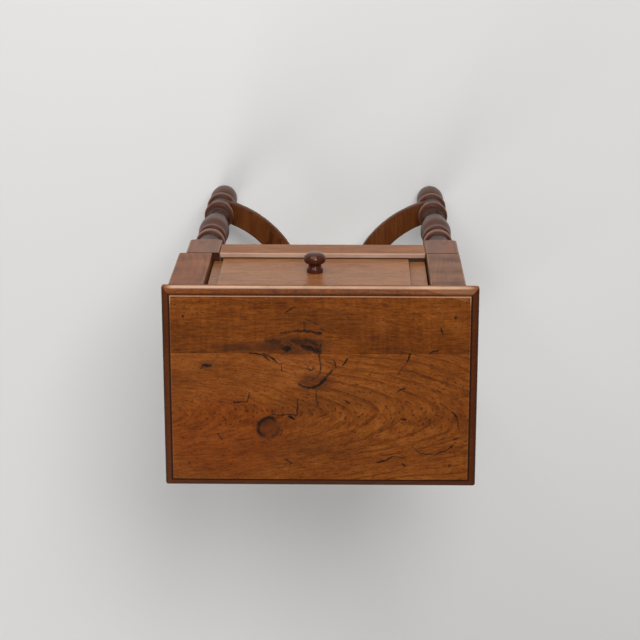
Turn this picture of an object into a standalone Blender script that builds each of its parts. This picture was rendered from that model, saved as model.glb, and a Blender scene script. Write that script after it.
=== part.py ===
# Small side table: a two-board moulded top on a deep drawer case, four turned
# legs, and a low stretcher of two bowed side members with a short crossbar.
# Metres, +Z up, front of the table towards -Y, feet on z = 0.
import math

import bmesh
import bpy
from mathutils import Matrix, Vector

# Overall sizes
HEIGHT = 0.673
TOP_WIDTH = 0.419
TOP_DEPTH = 0.279
TOP_THICK = 0.016
SEAM_FROM_FRONT = 0.090
FRONT_OVERHANG = 0.002
REAR_OVERHANG = 0.004
SIDE_OVERHANG = 0.012

# Moulded edge of the top: a fillet step, then a falling round to the edge
MOULD_WIDTH = 0.0108
MOULD_FILLET = 0.0018
MOULD_DROP = 0.0085
MOULD_DRAFT = 0.0002
MOULD_STEPS = 5

# Legs and the rails that tie them; the leg frame is a little narrower than the case on it
CASE_STEP = 0.010
BLANK = 0.0465
BLOCK_HEIGHT = 0.078
SHOULDER_RISE = 0.010
SHOULDER_DROP = 0.013
LATHE_STEPS = 20
RAIL_HEIGHT = 0.050
TOP_RAIL_HEIGHT = 0.028
FRONT_RAIL_THICK = 0.022
RAIL_THICK = 0.018
SIDE_RAIL_SETBACK = 0.003
TENON_LENGTH = 0.018
TENON_SHARE = 0.6
TENON_THICK = 0.008
TENON_SHOULDER = 0.004

# Turned part of the leg, as shares: girths of half the blank, levels of the turned height
NECK_GIRTH = 0.667
COLLAR_GIRTH = 0.796
GROOVE_GIRTH = 0.740
RING_GIRTHS = (0.946, 0.920, 0.985, 0.9935)
RING_WAIST = 0.839
VASE_GIRTHS = (0.843, 0.955, 0.989)
VASE_FOOT_GIRTH = 0.783
ANKLE_GIRTH = 0.774
BALL_GIRTHS = (0.568, 0.989)
SOLE_GIRTH = 0.688
NECK_LEVELS = (0.970, 0.858)
RING_LEVELS = ((0.850, 0.803), (0.763, 0.731), (0.394, 0.349), (0.224, 0.172))
GROOVE_LEVELS = (0.793, 0.771)
VASE_LEVELS = (0.723, 0.693, 0.653)
VASE_FOOT_LEVELS = (0.444, 0.424, 0.399)
PLAIN_LEVELS = (0.334, 0.234)
ANKLE_LEVELS = (0.165, 0.155)
BALL_LEVELS = (0.0823, 0.0773)

# Upper case: set to one side of the leg frame
CASE_HEIGHT = 0.178
CASE_SHIFT = 0.0045
POST = 0.0465
PANEL_THICK = 0.012
PANEL_SETBACK = 0.005
TONGUE_THICK = 0.006
TONGUE_DEPTH = 0.006
TIE_THICK = 0.018
TIE_DEPTH = 0.015
DOWEL_RADIUS = 0.008
DOWEL_IN_LEG = 0.014
DOWEL_IN_POST = 0.026

# Drawer
DRAWER_REVEAL = 0.0025
DRAWER_SETBACK = 0.008
FRONT_THICK = 0.020
FIELD_MARGINS = {"left": 0.0229, "right": 0.0134}
FIELD_RAISE = 0.004
FRONT_EASE = 0.0006
FRONT_CLEARANCE = 0.0015
DRAWER_BOX_INSET = 0.009
DRAWER_HEADROOM = 0.016
DRAWER_SIDE_THICK = 0.011
DRAWER_BACK_GAP = 0.0105
BOTTOM_THICK = 0.006
BOTTOM_LIFT = 0.010
BOTTOM_TONGUE = 0.005
RUNNER_WIDTH = 0.030
RUNNER_THICK = 0.020
GUIDE_HEIGHT = 0.018
GUIDE_CLEARANCE = 0.0015
STOP_HEIGHT = 0.014
STOP_WIDTH = 0.020

# Knob, turned
KNOB_RADIUS = 0.0159
KNOB_BASE_RADIUS = 0.0113
KNOB_NECK_RADIUS = 0.0085
KNOB_PROJECTION = 0.0275
KNOB_STEPS = 20

# Stretcher
STRETCHER_LEVEL = 0.2693
STRETCHER_THICK = 0.016
STRETCHER_WIDTH = 0.034
BOW_START_DEG = 13.0
BOW_TURN_DEG = 53.0
BOW_RADIUS = 0.158
BOW_STEPS = 9
PEG_RADIUS = 0.0045
PEG_IN_LEG = 0.013
PEG_IN_BOW = 0.016

# Screws
SCREW_RADIUS = 0.0022
SCREW_HEAD_RADIUS = 0.0042
SCREW_HEAD_THICK = 0.0025
TOP_SCREW_BITE = 0.010
KNOB_SCREW_BITE = 0.014
SCREW_STEPS = 10

# Clearances
FIT = 0.0003
EASE = 0.0012

# Values that follow from the ones above
TOP_UNDER = HEIGHT - TOP_THICK
# The origin lies under the middle of the whole outline, with the knob that stands out in front
KNOB_REACH = max(0.0, KNOB_PROJECTION + FIT - DRAWER_SETBACK - FRONT_OVERHANG)
TOP_FRONT = (KNOB_REACH - TOP_DEPTH) / 2
TOP_REAR = TOP_FRONT + TOP_DEPTH
TOP_Y = (TOP_FRONT + TOP_REAR) / 2
FRONT = TOP_FRONT + FRONT_OVERHANG
REAR = TOP_REAR - REAR_OVERHANG
CASE_WIDTH = TOP_WIDTH - 2 * SIDE_OVERHANG
LEG_SPREAD = CASE_WIDTH - CASE_STEP
RAIL_TOP = TOP_UNDER - CASE_HEIGHT
BLOCK_BOTTOM = RAIL_TOP - BLOCK_HEIGHT
TOP_RAIL_BOTTOM = TOP_UNDER - FIT - TOP_RAIL_HEIGHT
LEG_X = LEG_SPREAD / 2 - BLANK / 2
LEG_FRONT_Y = FRONT + BLANK / 2
LEG_REAR_Y = REAR - BLANK / 2
LEG_INNER = LEG_SPREAD / 2 - BLANK
RAIL_BOTTOM = RAIL_TOP - RAIL_HEIGHT
CASE_RIGHT = CASE_SHIFT + CASE_WIDTH / 2
CASE_LEFT = CASE_SHIFT - CASE_WIDTH / 2
PANEL_FOOT = RAIL_TOP + FIT
DRAWER_FACE = FRONT + DRAWER_SETBACK
DRAWER_FRONT_BACK = DRAWER_FACE + FRONT_THICK
DRAWER_END = REAR - PANEL_SETBACK - PANEL_THICK - DRAWER_BACK_GAP
DRAWER_FLOOR = RAIL_TOP + FIT
FRONT_WIDTH = CASE_WIDTH - 2 * POST - 2 * DRAWER_REVEAL
FRONT_FOOT = RAIL_TOP + FRONT_CLEARANCE
FRONT_HEAD = TOP_RAIL_BOTTOM - FRONT_CLEARANCE
FIELD_LEFT = CASE_SHIFT - FRONT_WIDTH / 2 + FIELD_MARGINS["left"]
FIELD_RIGHT = CASE_SHIFT + FRONT_WIDTH / 2 - FIELD_MARGINS["right"]
KNOB_X = (FIELD_LEFT + FIELD_RIGHT) / 2
KNOB_Z = (FRONT_FOOT + FRONT_HEAD) / 2
DRAWER_BOX_WIDTH = FRONT_WIDTH - 2 * DRAWER_BOX_INSET
DRAWER_SIDE_TOP = TOP_RAIL_BOTTOM - DRAWER_HEADROOM
PLAIN_RADIUS = BLANK / 2 * COLLAR_GIRTH
STRETCHER_MIDDLE = BLOCK_BOTTOM * STRETCHER_LEVEL
STRETCHER_BOTTOM = STRETCHER_MIDDLE - STRETCHER_THICK / 2

SIDES = {"left": -1.0, "right": 1.0}


def clear_scene():
    for obj in list(bpy.data.objects):
        bpy.data.objects.remove(obj, do_unlink=True)


def collection(name):
    made = bpy.data.collections.new(name)
    bpy.context.scene.collection.children.link(made)
    return made


def wood(name, colour, roughness):
    made = bpy.data.materials.new(name)
    made.use_nodes = True
    shader = made.node_tree.nodes["Principled BSDF"]
    shader.inputs["Base Color"].default_value = (*colour, 1.0)
    shader.inputs["Roughness"].default_value = roughness
    return made


def steel(name):
    made = wood(name, (0.30, 0.29, 0.27), 0.45)
    made.node_tree.nodes["Principled BSDF"].inputs["Metallic"].default_value = 1.0
    return made


clear_scene()
parts = collection("side_table")
cutters = collection("side_table_cutters")
top_wood = wood("oiled_top", (0.30, 0.11, 0.035), 0.40)
case_wood = wood("oiled_case", (0.27, 0.12, 0.055), 0.45)
leg_wood = wood("turned_leg", (0.16, 0.055, 0.028), 0.38)
inner_wood = wood("bare_inside", (0.48, 0.32, 0.18), 0.65)
screw_steel = steel("dark_screw")


def finish(mesh, name, material, where=Vector()):
    obj = bpy.data.objects.new(name, mesh)
    obj.location = where
    mesh.materials.append(material)
    parts.objects.link(obj)
    return obj


def box_mesh(name, size):
    mesh = bpy.data.meshes.new(name)
    shape = bmesh.new()
    bmesh.ops.create_cube(shape, size=1.0, matrix=Matrix.Diagonal((*size, 1.0)))
    shape.to_mesh(mesh)
    shape.free()
    return mesh


def box(name, low, high, material, ease=0.0):
    low = Vector(low)
    high = Vector(high)
    obj = finish(box_mesh(name, high - low), name, material, (low + high) / 2)
    if ease:
        edges = obj.modifiers.new("eased_edges", "BEVEL")
        edges.width = ease
        edges.segments = 1
    return obj


def round_mesh(name, radius, length, steps):
    mesh = bpy.data.meshes.new(name)
    shape = bmesh.new()
    bmesh.ops.create_cone(shape, cap_ends=True, segments=steps, radius1=radius,
                          radius2=radius, depth=length)
    shape.to_mesh(mesh)
    shape.free()
    return mesh


def along(direction):
    return Vector((0, 0, 1)).rotation_difference(Vector(direction)).to_euler()


def rod(name, start, end, radius, material, steps=14):
    start = Vector(start)
    end = Vector(end)
    obj = finish(round_mesh(name, radius, (end - start).length, steps), name, material,
                 (start + end) / 2)
    obj.rotation_euler = along(end - start)
    return obj


def as_cutter(obj):
    parts.objects.unlink(obj)
    cutters.objects.link(obj)
    obj.hide_render = True
    obj.display_type = "WIRE"
    return obj


def box_cutter(name, low, high):
    return as_cutter(box(name, low, high, inner_wood))


def rod_cutter(name, start, end, radius, steps=14):
    return as_cutter(rod(name, start, end, radius, inner_wood, steps))


def combine(obj, other, operation):
    step = obj.modifiers.new(other.name, "BOOLEAN")
    step.operation = operation
    step.object = other
    return obj


def cut(obj, *others):
    for other in others:
        combine(obj, other, "DIFFERENCE")
    return obj


def turned(name, profile, steps, material, where=Vector()):
    # The profile is a list of (radius, height), from the top down
    mesh = bpy.data.meshes.new(name)
    points = [(radius, 0.0, height) for radius, height in profile]
    edges = [(i, i + 1) for i in range(len(points) - 1)]
    mesh.from_pydata(points, edges, [])
    obj = finish(mesh, name, material, where)
    spin = obj.modifiers.new("lathe", "SCREW")
    spin.steps = steps
    spin.render_steps = steps
    spin.use_merge_vertices = True
    spin.merge_threshold = 0.00001
    spin.use_smooth_shade = True
    return obj


# Turned profiles
def bead(radius, waist, top, bottom, steps=4):
    middle = (top + bottom) / 2
    half = (top - bottom) / 2
    turns = [math.pi * i / steps for i in range(steps + 1)]
    return [(waist + (radius - waist) * math.sin(t), middle + half * math.cos(t)) for t in turns]


def sweep(radius_top, top, radius_bottom, bottom, steps=4):
    # A smooth S-shaped change of radius
    made = []
    for i in range(1, steps + 1):
        share = i / steps
        ease = (1 - math.cos(math.pi * share)) / 2
        made.append((radius_top + (radius_bottom - radius_top) * ease, top + (bottom - top) * share))
    return made


def girth(share):
    return BLANK / 2 * share


def level(share):
    return BLOCK_BOTTOM * share


def ring(number):
    top, bottom = RING_LEVELS[number]
    return bead(girth(RING_GIRTHS[number]), girth(RING_WAIST), level(top), level(bottom))


def leg_profile():
    # Square block above, then neck, ring, groove, ring, vase, ring, plain length, ring and ball foot
    corner = BLANK * math.sqrt(0.5) + SHOULDER_RISE / 8
    neck = girth(NECK_GIRTH)
    start = BLOCK_BOTTOM + SHOULDER_RISE
    profile = [(0.0, RAIL_TOP), (corner, RAIL_TOP), (corner, start)]
    for turn in (30, 60, 90):
        a = math.radians(turn)
        profile.append((neck + (corner - neck) * math.cos(a), start - SHOULDER_DROP * math.sin(a)))
    collar = girth(COLLAR_GIRTH)
    profile += sweep(neck, level(NECK_LEVELS[0]), collar, level(NECK_LEVELS[1]), 3)
    profile += ring(0)
    profile += [(girth(GROOVE_GIRTH), level(share)) for share in GROOVE_LEVELS]
    profile += ring(1)
    profile += [(girth(share), level(height)) for share, height in zip(VASE_GIRTHS, VASE_LEVELS)]
    profile += sweep(girth(VASE_GIRTHS[-1]), level(VASE_LEVELS[-1]), neck, level(VASE_FOOT_LEVELS[0]), 6)
    profile += [(neck, level(VASE_FOOT_LEVELS[1])), (girth(VASE_FOOT_GIRTH), level(VASE_FOOT_LEVELS[2]))]
    profile += ring(2)
    profile += [(PLAIN_RADIUS, level(share)) for share in PLAIN_LEVELS]
    profile += ring(3)
    profile += [(girth(ANKLE_GIRTH), level(share)) for share in ANKLE_LEVELS]
    slim, wide = (girth(share) for share in BALL_GIRTHS)
    middle, half = (level(share) for share in BALL_LEVELS)
    for turn in (20, 45, 70, 90, 115, 140):
        a = math.radians(turn)
        profile.append((slim + (wide - slim) * math.sin(a), middle + half * math.cos(a)))
    profile += [(girth(SOLE_GIRTH), 0.0), (0.0, 0.0)]
    return profile


# Top
def top_boards():
    # A slab drawn up through the edge profile, then parted along the glue line
    half_width = TOP_WIDTH / 2
    half_depth = TOP_DEPTH / 2
    edge_top = HEIGHT - MOULD_FILLET - MOULD_DROP
    levels = []
    for i in range(1, MOULD_STEPS + 1):
        a = math.pi / 2 * i / MOULD_STEPS
        levels.append((MOULD_WIDTH * (1 - math.cos(a)), edge_top + MOULD_DROP * math.sin(a)))
    levels.append((MOULD_WIDTH + MOULD_DRAFT, HEIGHT))
    mesh = bpy.data.meshes.new("top_slab")
    shape = bmesh.new()
    slab = Matrix.Diagonal((TOP_WIDTH, TOP_DEPTH, edge_top - TOP_UNDER, 1.0))
    bmesh.ops.create_cube(shape, size=1.0, matrix=slab)
    bmesh.ops.translate(shape, verts=shape.verts[:], vec=(0, 0, (edge_top + TOP_UNDER) / 2))
    face = max(shape.faces, key=lambda item: item.calc_center_median().z)
    for inset, height in levels:
        face = bmesh.ops.extrude_discrete_faces(shape, faces=[face])["faces"][0]
        for vert in face.verts:
            vert.co = Vector((math.copysign(half_width - inset, vert.co.x),
                              math.copysign(half_depth - inset, vert.co.y), height))
    bmesh.ops.translate(shape, verts=shape.verts[:], vec=(0, TOP_Y, 0))
    shape.to_mesh(mesh)
    shape.free()
    seam = TOP_FRONT + SEAM_FROM_FRONT
    reach = TOP_WIDTH
    halves = {"top_board_front": (-reach, seam - FIT / 2), "top_board_rear": (seam + FIT / 2, reach)}
    boards = []
    for name, (start, end) in halves.items():
        board = finish(mesh.copy(), name, top_wood)
        keep = box_cutter(name + "_half", (-reach, start, TOP_UNDER - reach),
                          (reach, end, HEIGHT + reach))
        boards.append(combine(board, keep, "INTERSECT"))
    return boards


# Legs
def make_leg(name, x, y):
    leg = turned(name, leg_profile(), LATHE_STEPS, leg_wood, Vector((x, y, 0.0)))
    half = BLANK / 2
    blank = box_cutter(name + "_blank", (x - half, y - half, -BLANK), (x + half, y + half, HEIGHT))
    return combine(leg, blank, "INTERSECT")


def rail(name, low, high, run, leg_a, leg_b):
    # A rail with a tenon on each end, into a leg or post; run is the axis it runs along, 0 for X or 1 for Y
    made = box(name, low, high, case_wood, EASE)
    across = 1 - run
    middle = (low[across] + high[across]) / 2
    for end, sign, leg in ((low[run], -1, leg_a), (high[run], 1, leg_b)):
        tenon_low = [0.0, 0.0, low[2] + TENON_SHOULDER]
        tenon_high = [0.0, 0.0, low[2] + TENON_SHOULDER + (high[2] - low[2]) * TENON_SHARE]
        tip = end + sign * TENON_LENGTH
        root = end - sign * TENON_THICK
        tenon_low[run], tenon_high[run] = min(tip, root), max(tip, root)
        tenon_low[across] = middle - TENON_THICK / 2
        tenon_high[across] = middle + TENON_THICK / 2
        tenon = box_cutter(f"{name}_tenon_{leg.name}", tenon_low, tenon_high)
        combine(made, tenon, "UNION")
        grow = Vector((FIT, FIT, FIT))
        mortise = box_cutter(f"{name}_mortise_{leg.name}", Vector(tenon_low) - grow,
                             Vector(tenon_high) + grow)
        cut(leg, mortise)
    return made


def base_frame():
    legs = {}
    for side, sign in SIDES.items():
        legs["front", side] = make_leg(f"leg_front_{side}", sign * LEG_X, LEG_FRONT_Y)
        legs["rear", side] = make_leg(f"leg_rear_{side}", sign * LEG_X, LEG_REAR_Y)
    reach = LEG_INNER - FIT
    rail("front_rail", (-reach, FRONT, RAIL_BOTTOM), (reach, FRONT + FRONT_RAIL_THICK, RAIL_TOP),
         0, legs["front", "left"], legs["front", "right"])
    rail("rear_rail", (-reach, REAR - RAIL_THICK, RAIL_BOTTOM), (reach, REAR, RAIL_TOP),
         0, legs["rear", "left"], legs["rear", "right"])
    outer = LEG_SPREAD / 2 - SIDE_RAIL_SETBACK
    start = FRONT + BLANK + FIT
    end = REAR - BLANK - FIT
    for side, sign in SIDES.items():
        edges = sorted((sign * outer, sign * (outer - RAIL_THICK)))
        rail(f"side_rail_{side}", (edges[0], start, RAIL_BOTTOM), (edges[1], end, RAIL_TOP),
             1, legs["front", side], legs["rear", side])
    return legs


# Upper case
def post_span(side):
    if side == "left":
        return CASE_LEFT, CASE_LEFT + POST
    return CASE_RIGHT - POST, CASE_RIGHT


def panel(name, low, high, run, posts):
    # A panel with a tongue on both upright edges, let into grooves in the posts
    made = box(name, low, high, case_wood, 0.0)
    across = 1 - run
    middle = (low[across] + high[across]) / 2
    tongue_low = list(low)
    tongue_high = list(high)
    tongue_low[run] -= TONGUE_DEPTH
    tongue_high[run] += TONGUE_DEPTH
    tongue_low[across] = middle - TONGUE_THICK / 2
    tongue_high[across] = middle + TONGUE_THICK / 2
    tongue_low[2] += TONGUE_DEPTH
    tongue_high[2] -= TONGUE_DEPTH
    combine(made, box_cutter(name + "_tongue", tongue_low, tongue_high), "UNION")
    grow = Vector((FIT, FIT, FIT))
    groove = box_cutter(name + "_groove", Vector(tongue_low) - grow, Vector(tongue_high) + grow)
    for post in posts:
        cut(post, groove)
    return made


def upper_case(legs):
    posts = {}
    spans = {"front": (FRONT, FRONT + POST), "rear": (REAR - POST, REAR)}
    for side, sign in SIDES.items():
        x_low, x_high = post_span(side)
        for end, (y_low, y_high) in spans.items():
            post = box(f"corner_post_{end}_{side}", (x_low, y_low, RAIL_TOP + FIT),
                       (x_high, y_high, TOP_UNDER - FIT), case_wood, EASE)
            posts[end, side] = post
            leg = legs[end, side]
            # The dowel stands in the middle of where post and leg block overlap
            shared = sorted((x_low, x_high, sign * LEG_INNER, sign * LEG_SPREAD / 2))[1:3]
            x = sum(shared) / 2
            y = (y_low + y_high) / 2
            tip = RAIL_TOP + DOWEL_IN_POST
            heel = RAIL_TOP - DOWEL_IN_LEG
            rod(f"post_dowel_{end}_{side}", (x, y, heel), (x, y, tip), DOWEL_RADIUS, inner_wood)
            socket = rod_cutter(f"post_socket_{end}_{side}", (x, y, heel - FIT), (x, y, tip + FIT),
                                DOWEL_RADIUS + FIT)
            cut(post, socket)
            cut(leg, socket)
    top = TOP_UNDER - FIT
    start = FRONT + POST + FIT
    end = REAR - POST - FIT
    for side, sign in SIDES.items():
        face = (CASE_LEFT if side == "left" else CASE_RIGHT) - sign * PANEL_SETBACK
        edges = sorted((face, face - sign * PANEL_THICK))
        panel(f"side_panel_{side}", (edges[0], start, PANEL_FOOT), (edges[1], end, top), 1,
              (posts["front", side], posts["rear", side]))
    inner_left = CASE_LEFT + POST + FIT
    inner_right = CASE_RIGHT - POST - FIT
    back = REAR - PANEL_SETBACK
    panel("back_panel", (inner_left, back - PANEL_THICK, PANEL_FOOT), (inner_right, back, top), 0,
          (posts["rear", "left"], posts["rear", "right"]))
    rail("front_top_rail", (inner_left, DRAWER_FACE, TOP_RAIL_BOTTOM),
         (inner_right, DRAWER_FACE + FRONT_RAIL_THICK, top), 0, posts["front", "left"], posts["front", "right"])
    tie_front = DRAWER_FACE + FRONT_RAIL_THICK + FIT
    tie_rear = back - PANEL_THICK - FIT
    ties = {"front": (tie_front, tie_front + TIE_DEPTH), "rear": (tie_rear - TIE_DEPTH, tie_rear)}
    made = {}
    for place, (y_low, y_high) in ties.items():
        made[place] = box(f"top_tie_{place}", (inner_left, y_low, top - TIE_THICK),
                          (inner_right, y_high, top), inner_wood)
    return made


def top_screws(ties, boards):
    # Screws come up through the ties into the top
    quarter = (CASE_WIDTH - 2 * POST) / 4
    for place, tie in ties.items():
        y = tie.location.y
        for side, sign in SIDES.items():
            x = CASE_SHIFT + sign * quarter
            under = TOP_UNDER - FIT - TIE_THICK
            name = f"top_screw_{place}_{side}"
            screw(name, Vector((x, y, under - FIT)), Vector((0, 0, 1)), TIE_THICK + TOP_SCREW_BITE)
            tip = under + TIE_THICK + TOP_SCREW_BITE + FIT * 2
            hole = rod_cutter(name + "_hole", (x, y, under - TIE_THICK), (x, y, tip),
                              SCREW_RADIUS + FIT, SCREW_STEPS)
            cut(tie, hole)
            cut(boards[0 if place == "front" else 1], hole)


def screw(name, seat, direction, length):
    # The head lies behind the seat, the shank runs on from it
    shank = rod(name, seat - direction * SCREW_HEAD_THICK / 2, seat + direction * length,
                SCREW_RADIUS, screw_steel, SCREW_STEPS)
    head = as_cutter(rod(name + "_head", seat - direction * SCREW_HEAD_THICK, seat,
                         SCREW_HEAD_RADIUS, screw_steel, SCREW_STEPS))
    return combine(shank, head, "UNION")


# Drawer bearers inside the case
def bearers():
    start = FRONT + FRONT_RAIL_THICK + FIT
    end = REAR - RAIL_THICK - FIT
    for side, sign in SIDES.items():
        outer = sign * (LEG_INNER - FIT)
        edges = sorted((outer, outer - sign * RUNNER_WIDTH))
        box(f"drawer_runner_{side}", (edges[0], start, RAIL_TOP - RUNNER_THICK),
            (edges[1], end, RAIL_TOP), inner_wood)
        middle = (edges[0] + edges[1]) / 2
        box(f"drawer_stop_{side}", (middle - STOP_WIDTH / 2, DRAWER_END + FIT, RAIL_TOP + FIT),
            (middle + STOP_WIDTH / 2, end, RAIL_TOP + STOP_HEIGHT), inner_wood)
        near = CASE_SHIFT + sign * (DRAWER_BOX_WIDTH / 2 + GUIDE_CLEARANCE)
        face = (CASE_LEFT if side == "left" else CASE_RIGHT) - sign * PANEL_SETBACK
        far = face - sign * (PANEL_THICK + FIT)
        edges = sorted((near, far))
        box(f"drawer_guide_{side}", (edges[0], FRONT + POST + FIT, PANEL_FOOT),
            (edges[1], REAR - POST - FIT, PANEL_FOOT + GUIDE_HEIGHT), inner_wood)


# Drawer
def drawer():
    low_x = CASE_SHIFT - FRONT_WIDTH / 2
    high_x = CASE_SHIFT + FRONT_WIDTH / 2
    front = box("drawer_front", (low_x, DRAWER_FACE, FRONT_FOOT), (high_x, DRAWER_FRONT_BACK, FRONT_HEAD),
                case_wood, FRONT_EASE)
    reach = FRONT_THICK
    for side, edge, outer in (("left", FIELD_LEFT, low_x - reach), ("right", FIELD_RIGHT, high_x + reach)):
        span = sorted((edge, outer))
        cut(front, box_cutter(f"drawer_margin_{side}", (span[0], DRAWER_FACE - reach, FRONT_FOOT - reach),
                              (span[1], DRAWER_FACE + FIELD_RAISE, FRONT_HEAD + reach)))
    box_low = CASE_SHIFT - DRAWER_BOX_WIDTH / 2
    box_high = CASE_SHIFT + DRAWER_BOX_WIDTH / 2
    side_start = DRAWER_FRONT_BACK + FIT
    sides = [box("drawer_side_left", (box_low, side_start, DRAWER_FLOOR),
                 (box_low + DRAWER_SIDE_THICK, DRAWER_END, DRAWER_SIDE_TOP), inner_wood),
             box("drawer_side_right", (box_high - DRAWER_SIDE_THICK, side_start, DRAWER_FLOOR),
                 (box_high, DRAWER_END, DRAWER_SIDE_TOP), inner_wood)]
    inner_low = box_low + DRAWER_SIDE_THICK
    inner_high = box_high - DRAWER_SIDE_THICK
    floor = DRAWER_FLOOR + BOTTOM_LIFT
    bottom_low = Vector((inner_low - BOTTOM_TONGUE, DRAWER_FRONT_BACK - BOTTOM_TONGUE, floor))
    bottom_high = Vector((inner_high + BOTTOM_TONGUE, DRAWER_END - FIT, floor + BOTTOM_THICK))
    box("drawer_bottom", bottom_low, bottom_high, inner_wood)
    grow = Vector((FIT, FIT, FIT))
    groove = box_cutter("drawer_bottom_groove", bottom_low - grow,
                        bottom_high + grow + Vector((0, reach, 0)))
    cut(front, groove)
    for side in sides:
        cut(side, groove)
    box("drawer_back", (inner_low + FIT, DRAWER_END - DRAWER_SIDE_THICK, floor + BOTTOM_THICK + FIT),
        (inner_high - FIT, DRAWER_END, DRAWER_SIDE_TOP), inner_wood)
    return front


def knob(front):
    # Turned on its own axis, which points out of the drawer front
    length = KNOB_PROJECTION
    profile = [(0.0, length)]
    for turn in (30, 55, 78, 100, 125, 150):
        a = math.radians(turn)
        profile.append((KNOB_NECK_RADIUS + (KNOB_RADIUS - KNOB_NECK_RADIUS) * math.sin(a) ** 0.7,
                        length * 0.70 + length * 0.30 * math.cos(a)))
    profile += [(KNOB_NECK_RADIUS, length * 0.38), (KNOB_NECK_RADIUS, length * 0.30)]
    profile += [(KNOB_BASE_RADIUS * 0.97, length * 0.23), (KNOB_BASE_RADIUS, length * 0.14)]
    profile += [(KNOB_BASE_RADIUS, 0.0), (0.0, 0.0)]
    seat = Vector((KNOB_X, DRAWER_FACE - FIT, KNOB_Z))
    pull = turned("drawer_knob", profile, KNOB_STEPS, leg_wood, seat)
    out = Vector((0, -1, 0))
    pull.rotation_euler = along(out)
    inside = Vector((KNOB_X, DRAWER_FRONT_BACK + FIT, KNOB_Z))
    bite = FRONT_THICK + 2 * FIT + KNOB_SCREW_BITE
    screw("knob_screw", inside, out, bite)
    hole = rod_cutter("knob_screw_hole", inside - out * FRONT_THICK / 2, inside + out * (bite + FIT),
                      SCREW_RADIUS + FIT, SCREW_STEPS)
    cut(front, hole)
    cut(pull, hole)


# Stretcher
def bow_path(offset):
    # Points of one bow, offset square to its middle line, from the front leg to mid depth.
    # x runs inwards from the leg and y runs back from it.
    start = math.radians(BOW_START_DEG)
    turn = math.radians(BOW_TURN_DEG)
    depth = (LEG_REAR_Y - LEG_FRONT_Y) / 2
    first_depth = BOW_RADIUS * (math.cos(start) - math.cos(turn))
    last_radius = (depth - first_depth) / math.cos(turn)
    first_x = BOW_RADIUS * (math.sin(turn) - math.sin(start))
    points = []
    for i in range(BOW_STEPS + 1):
        a = start + (turn - start) * i / BOW_STEPS
        x = BOW_RADIUS * (math.sin(a) - math.sin(start))
        y = BOW_RADIUS * (math.cos(start) - math.cos(a))
        points.append((x + offset * math.sin(a), y - offset * math.cos(a)))
    half = BOW_STEPS // 2
    for i in range(1, half + 1):
        a = turn + (math.pi / 2 - turn) * i / half
        x = first_x + last_radius * (math.sin(a) - math.sin(turn))
        y = first_depth + last_radius * (math.cos(turn) - math.cos(a))
        points.append((x + offset * math.sin(a), y - offset * math.cos(a)))
    return points


def bow(side, sign, legs):
    half = STRETCHER_WIDTH / 2
    depth = (LEG_REAR_Y - LEG_FRONT_Y) / 2
    inner = bow_path(half)
    outer = bow_path(-half)
    front_edge = inner + [(x, 2 * depth - y) for x, y in reversed(inner[:-1])]
    rear_edge = outer + [(x, 2 * depth - y) for x, y in reversed(outer[:-1])]
    outline = front_edge + rear_edge[::-1]
    name = f"stretcher_bow_{side}"
    curve = bpy.data.curves.new(name + "_outline", "CURVE")
    curve.dimensions = "2D"
    curve.fill_mode = "BOTH"
    curve.extrude = STRETCHER_THICK / 2
    line = curve.splines.new("POLY")
    line.points.add(len(outline) - 1)
    for point, (x, y) in zip(line.points, outline):
        point.co = (sign * (LEG_X - x), LEG_FRONT_Y + y, 0.0, 1.0)
    line.use_cyclic_u = True
    drawn = bpy.data.objects.new(name + "_outline", curve)
    cutters.objects.link(drawn)
    middle = STRETCHER_MIDDLE
    drawn.location.z = middle
    bpy.context.view_layer.update()
    graph = bpy.context.evaluated_depsgraph_get()
    mesh = bpy.data.meshes.new_from_object(drawn.evaluated_get(graph))
    shape = bmesh.new()
    shape.from_mesh(mesh)
    bmesh.ops.remove_doubles(shape, verts=shape.verts[:], dist=0.00001)
    bmesh.ops.recalc_face_normals(shape, faces=shape.faces[:])
    shape.to_mesh(mesh)
    shape.free()
    mesh.name = name
    made = finish(mesh, name, leg_wood, drawn.location.copy())
    bpy.data.objects.remove(drawn, do_unlink=True)
    start = math.radians(BOW_START_DEG)
    for end, leg_y, back in (("front", LEG_FRONT_Y, 1), ("rear", LEG_REAR_Y, -1)):
        centre = Vector((sign * LEG_X, leg_y, middle))
        cope = rod_cutter(f"{name}_cope_{end}", centre - Vector((0, 0, STRETCHER_THICK)),
                          centre + Vector((0, 0, STRETCHER_THICK)), PLAIN_RADIUS + FIT,
                          LATHE_STEPS * 2)
        cut(made, cope)
        heading = Vector((-sign * math.cos(start), back * math.sin(start), 0.0))
        heel = centre + heading * (PLAIN_RADIUS - PEG_IN_LEG)
        tip = centre + heading * (PLAIN_RADIUS + PEG_IN_BOW)
        peg_name = f"stretcher_peg_{end}_{side}"
        rod(peg_name, heel, tip, PEG_RADIUS, inner_wood, SCREW_STEPS)
        socket = rod_cutter(peg_name + "_socket", heel - heading * FIT, tip + heading * FIT,
                            PEG_RADIUS + FIT, SCREW_STEPS)
        cut(made, socket)
        cut(legs[end, side], socket)
    return made


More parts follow.
